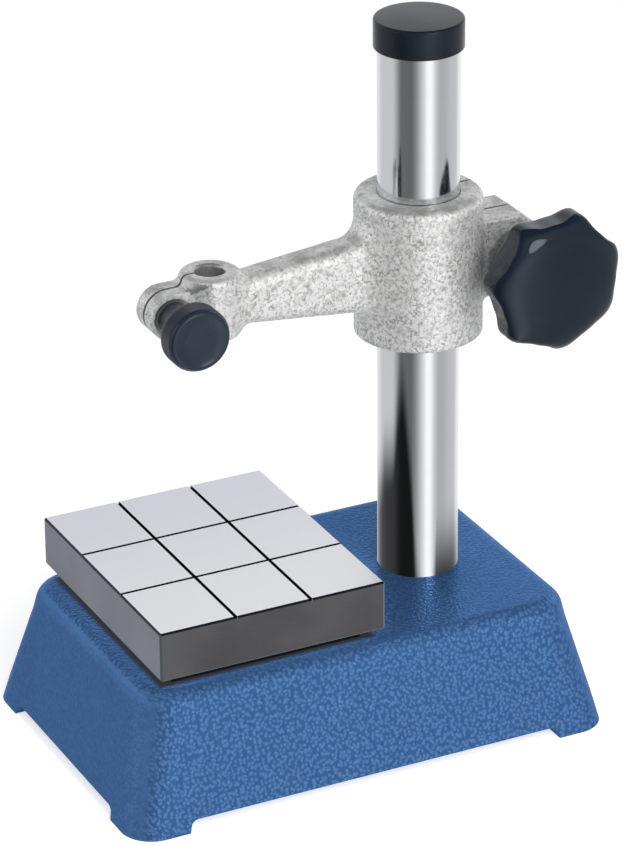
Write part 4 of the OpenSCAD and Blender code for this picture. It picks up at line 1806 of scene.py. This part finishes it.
@dataclass
class Studio:
    """Camera, floor, soft lights and the surround that the polished metal mirrors."""

    plan: Plan
    azimuth: float = 26.136
    pitch: float = 25.289
    roll: float = -0.518
    eye: Point = (-482.0, -916.8, 567.7)
    lens: float = 180.32
    surround: tuple[tuple[float, float], ...] = (
        (-180, 0.95), (-140, 0.80), (-122, 0.64), (-76, 0.64), (-62, 0.36), (-52, 0.16), (-20, 0.14), (-8, 0.28),
        (2, 0.50), (14, 0.82), (24, 1.16), (34, 1.12), (46, 0.68), (58, 0.48), (74, 0.49), (95, 0.58), (122, 0.62),
        (140, 0.92), (180, 0.95),
    )
    upper: tuple[tuple[float, float], ...] = (
        (-180, 1.06), (-145, 1.06), (-125, 1.02), (-95, 1.02), (-62, 0.84), (-46, 0.26), (-20, 0.16), (-4, 0.22),
        (12, 0.46), (40, 0.52), (80, 0.34), (115, 0.40), (140, 0.96), (180, 1.06),
    )
    ceiling: Colour = (0.10, 0.10, 0.105)

    def camera(self) -> None:
        """Sets the camera where the photograph was taken from."""
        az, pitch, roll = (math.radians(v) for v in (self.azimuth, self.pitch, self.roll))
        right = Vector((math.cos(az), -math.sin(az), 0.0))
        ahead = Vector((math.sin(az) * math.cos(pitch), math.cos(az) * math.cos(pitch), -math.sin(pitch)))
        up = right.cross(ahead)
        across = right * math.cos(roll) + up * math.sin(roll)
        upward = up * math.cos(roll) - right * math.sin(roll)
        data = bpy.data.cameras.new("camera")
        data.sensor_fit = "VERTICAL"
        data.sensor_height = 36.0
        data.lens = self.lens
        data.clip_end = 50.0
        camera = bpy.data.objects.new("camera", data)
        turn = Matrix((across, upward, -ahead)).transposed().to_4x4()
        spot = Vector((self.plan.column_x + self.eye[0], self.eye[1], self.eye[2])) * MM
        camera.matrix_world = Matrix.Translation(spot) @ turn
        bpy.context.scene.collection.objects.link(camera)
        bpy.context.scene.camera = camera

    def floor(self) -> None:
        """Lays the pale floor."""
        shape, reach, z = Shape(), 9000, -0.05
        shape.cap(shape.ring([(-reach, -reach, z), (reach, -reach, z), (reach, reach, z), (-reach, reach, z)]))
        floor = shape.build("studio_floor")
        material = bpy.data.materials.new("Pale floor")
        material.use_nodes = True
        s = Sketch(material.node_tree)
        s.tree.nodes.clear()
        path = s.node("ShaderNodeLightPath")
        matt = s.add("ShaderNodeBsdfDiffuse", Color=(0.62, 0.62, 0.62, 1.0))[0]
        glow = s.add("ShaderNodeEmission", Strength=s.mul(path.outputs["Is Camera Ray"], 0.68))[0]
        both = s.node("ShaderNodeAddShader")
        s.put(matt, both.inputs[0])
        s.put(glow, both.inputs[1])
        s.add("ShaderNodeOutputMaterial", Surface=both.outputs[0])
        floor.data.materials.append(material)
        floor.visible_glossy = False

    def lamp(self, name: str, side: float, elevation: float, distance: float, size: float, power: float,
             mirrored: bool) -> None:
        """Hangs a soft round lamp that looks at the stand.

        Args:
            name: Its name.
            side: Degrees to the right of the camera, seen from the stand.
            elevation: Degrees above the floor.
            distance: Distance in metres.
            size: Its diameter in metres.
            power: Power in watts.
            mirrored: Whether glossy surfaces show it.
        """
        aim = Vector((0.0, 0.0, 0.09))
        turn = math.radians(side - 90.0 - self.azimuth)
        rise = math.radians(elevation)
        level = math.cos(rise)
        spot = aim + distance * Vector((level * math.cos(turn), level * math.sin(turn), math.sin(rise)))
        data = bpy.data.lights.new(name, "AREA")
        data.shape = "DISK"
        data.size = size
        data.energy = power
        lamp = bpy.data.objects.new(name, data)
        lamp.visible_glossy = mirrored
        lamp.matrix_world = Matrix.Translation(spot) @ (aim - spot).to_track_quat("-Z", "Y").to_matrix().to_4x4()
        bpy.context.scene.collection.objects.link(lamp)

    def sky(self) -> None:
        """Makes the surround: white to the camera, and soft bright and dark walls to everything else."""
        world = bpy.data.worlds.new("studio")
        bpy.context.scene.world = world
        world.use_nodes = True
        s = Sketch(world.node_tree)
        s.tree.nodes.clear()
        path = s.node("ShaderNodeLightPath")
        look = s.split(s.add("ShaderNodeTexCoord")["Generated"])
        around = s.math("ARCTAN2", look["Y"], look["X"])
        around = s.plus(around, math.radians(90.0 + self.azimuth + 180.0))
        share = s.math("FRACT", s.div(around, 2 * math.pi))
        walls = [s.steps(share, [((angle + 180) / 360, tone) for angle, tone in tones], (0.985, 0.995, 1.02))
                 for tones in (self.surround, self.upper)]
        tone = s.mix(s.ramp(look["Z"], -0.12, 0.12), *walls)
        tone = s.mix(s.ramp(look["Z"], 0.46, 0.74), tone, self.ceiling)
        light = s.add("ShaderNodeBackground", Color=tone)[0]
        white = s.add("ShaderNodeBackground", Color=(1.0, 1.0, 1.0, 1.0))[0]
        pick = s.node("ShaderNodeMixShader")
        for value, target in zip((path.outputs["Is Camera Ray"], light, white), pick.inputs):
            s.put(value, target)
        s.add("ShaderNodeOutputWorld", Surface=pick.outputs[0])

    def build(self) -> None:
        """Sets up the whole studio."""
        bpy.context.scene.view_settings.view_transform = "Standard"
        self.camera()
        self.floor()
        self.sky()
        self.lamp("front lamp", 22.0, 36.0, 1.1, 0.8, 9.8, False)
        self.lamp("window lamp", 36.0, 12.0, 1.1, 0.36, 1.2, True)
        self.lamp("top lamp", 40.0, 56.0, 1.1, 0.5, 2.2, False)


def corners(box: object) -> list[list[float]]:
    """Turns a box of the frame into plain lists of numbers."""
    return [[float(v) for v in corner] for corner in box]


def main() -> None:
    """Builds the stand's looks over the frame and its studio."""
    logging.basicConfig(level=logging.INFO, format="%(name)s: %(message)s")
    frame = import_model()
    plan = Plan.read()
    finishes = Finishes(plan)
    Studio(plan).build()
    BaseCasting(plan).build(finishes)
    TableSet(plan).build(finishes, frame["nodes"]["table"], repeat_tree())
    ColumnSet(plan).build(finishes)
    ArmCasting(plan).build(finishes)
    StarGrip(plan).build(finishes, lobe_tree())
    StemKnob(plan).build(finishes, rib_tree())
    bpy.context.view_layer.update()


if __name__ == "__main__":
    main()
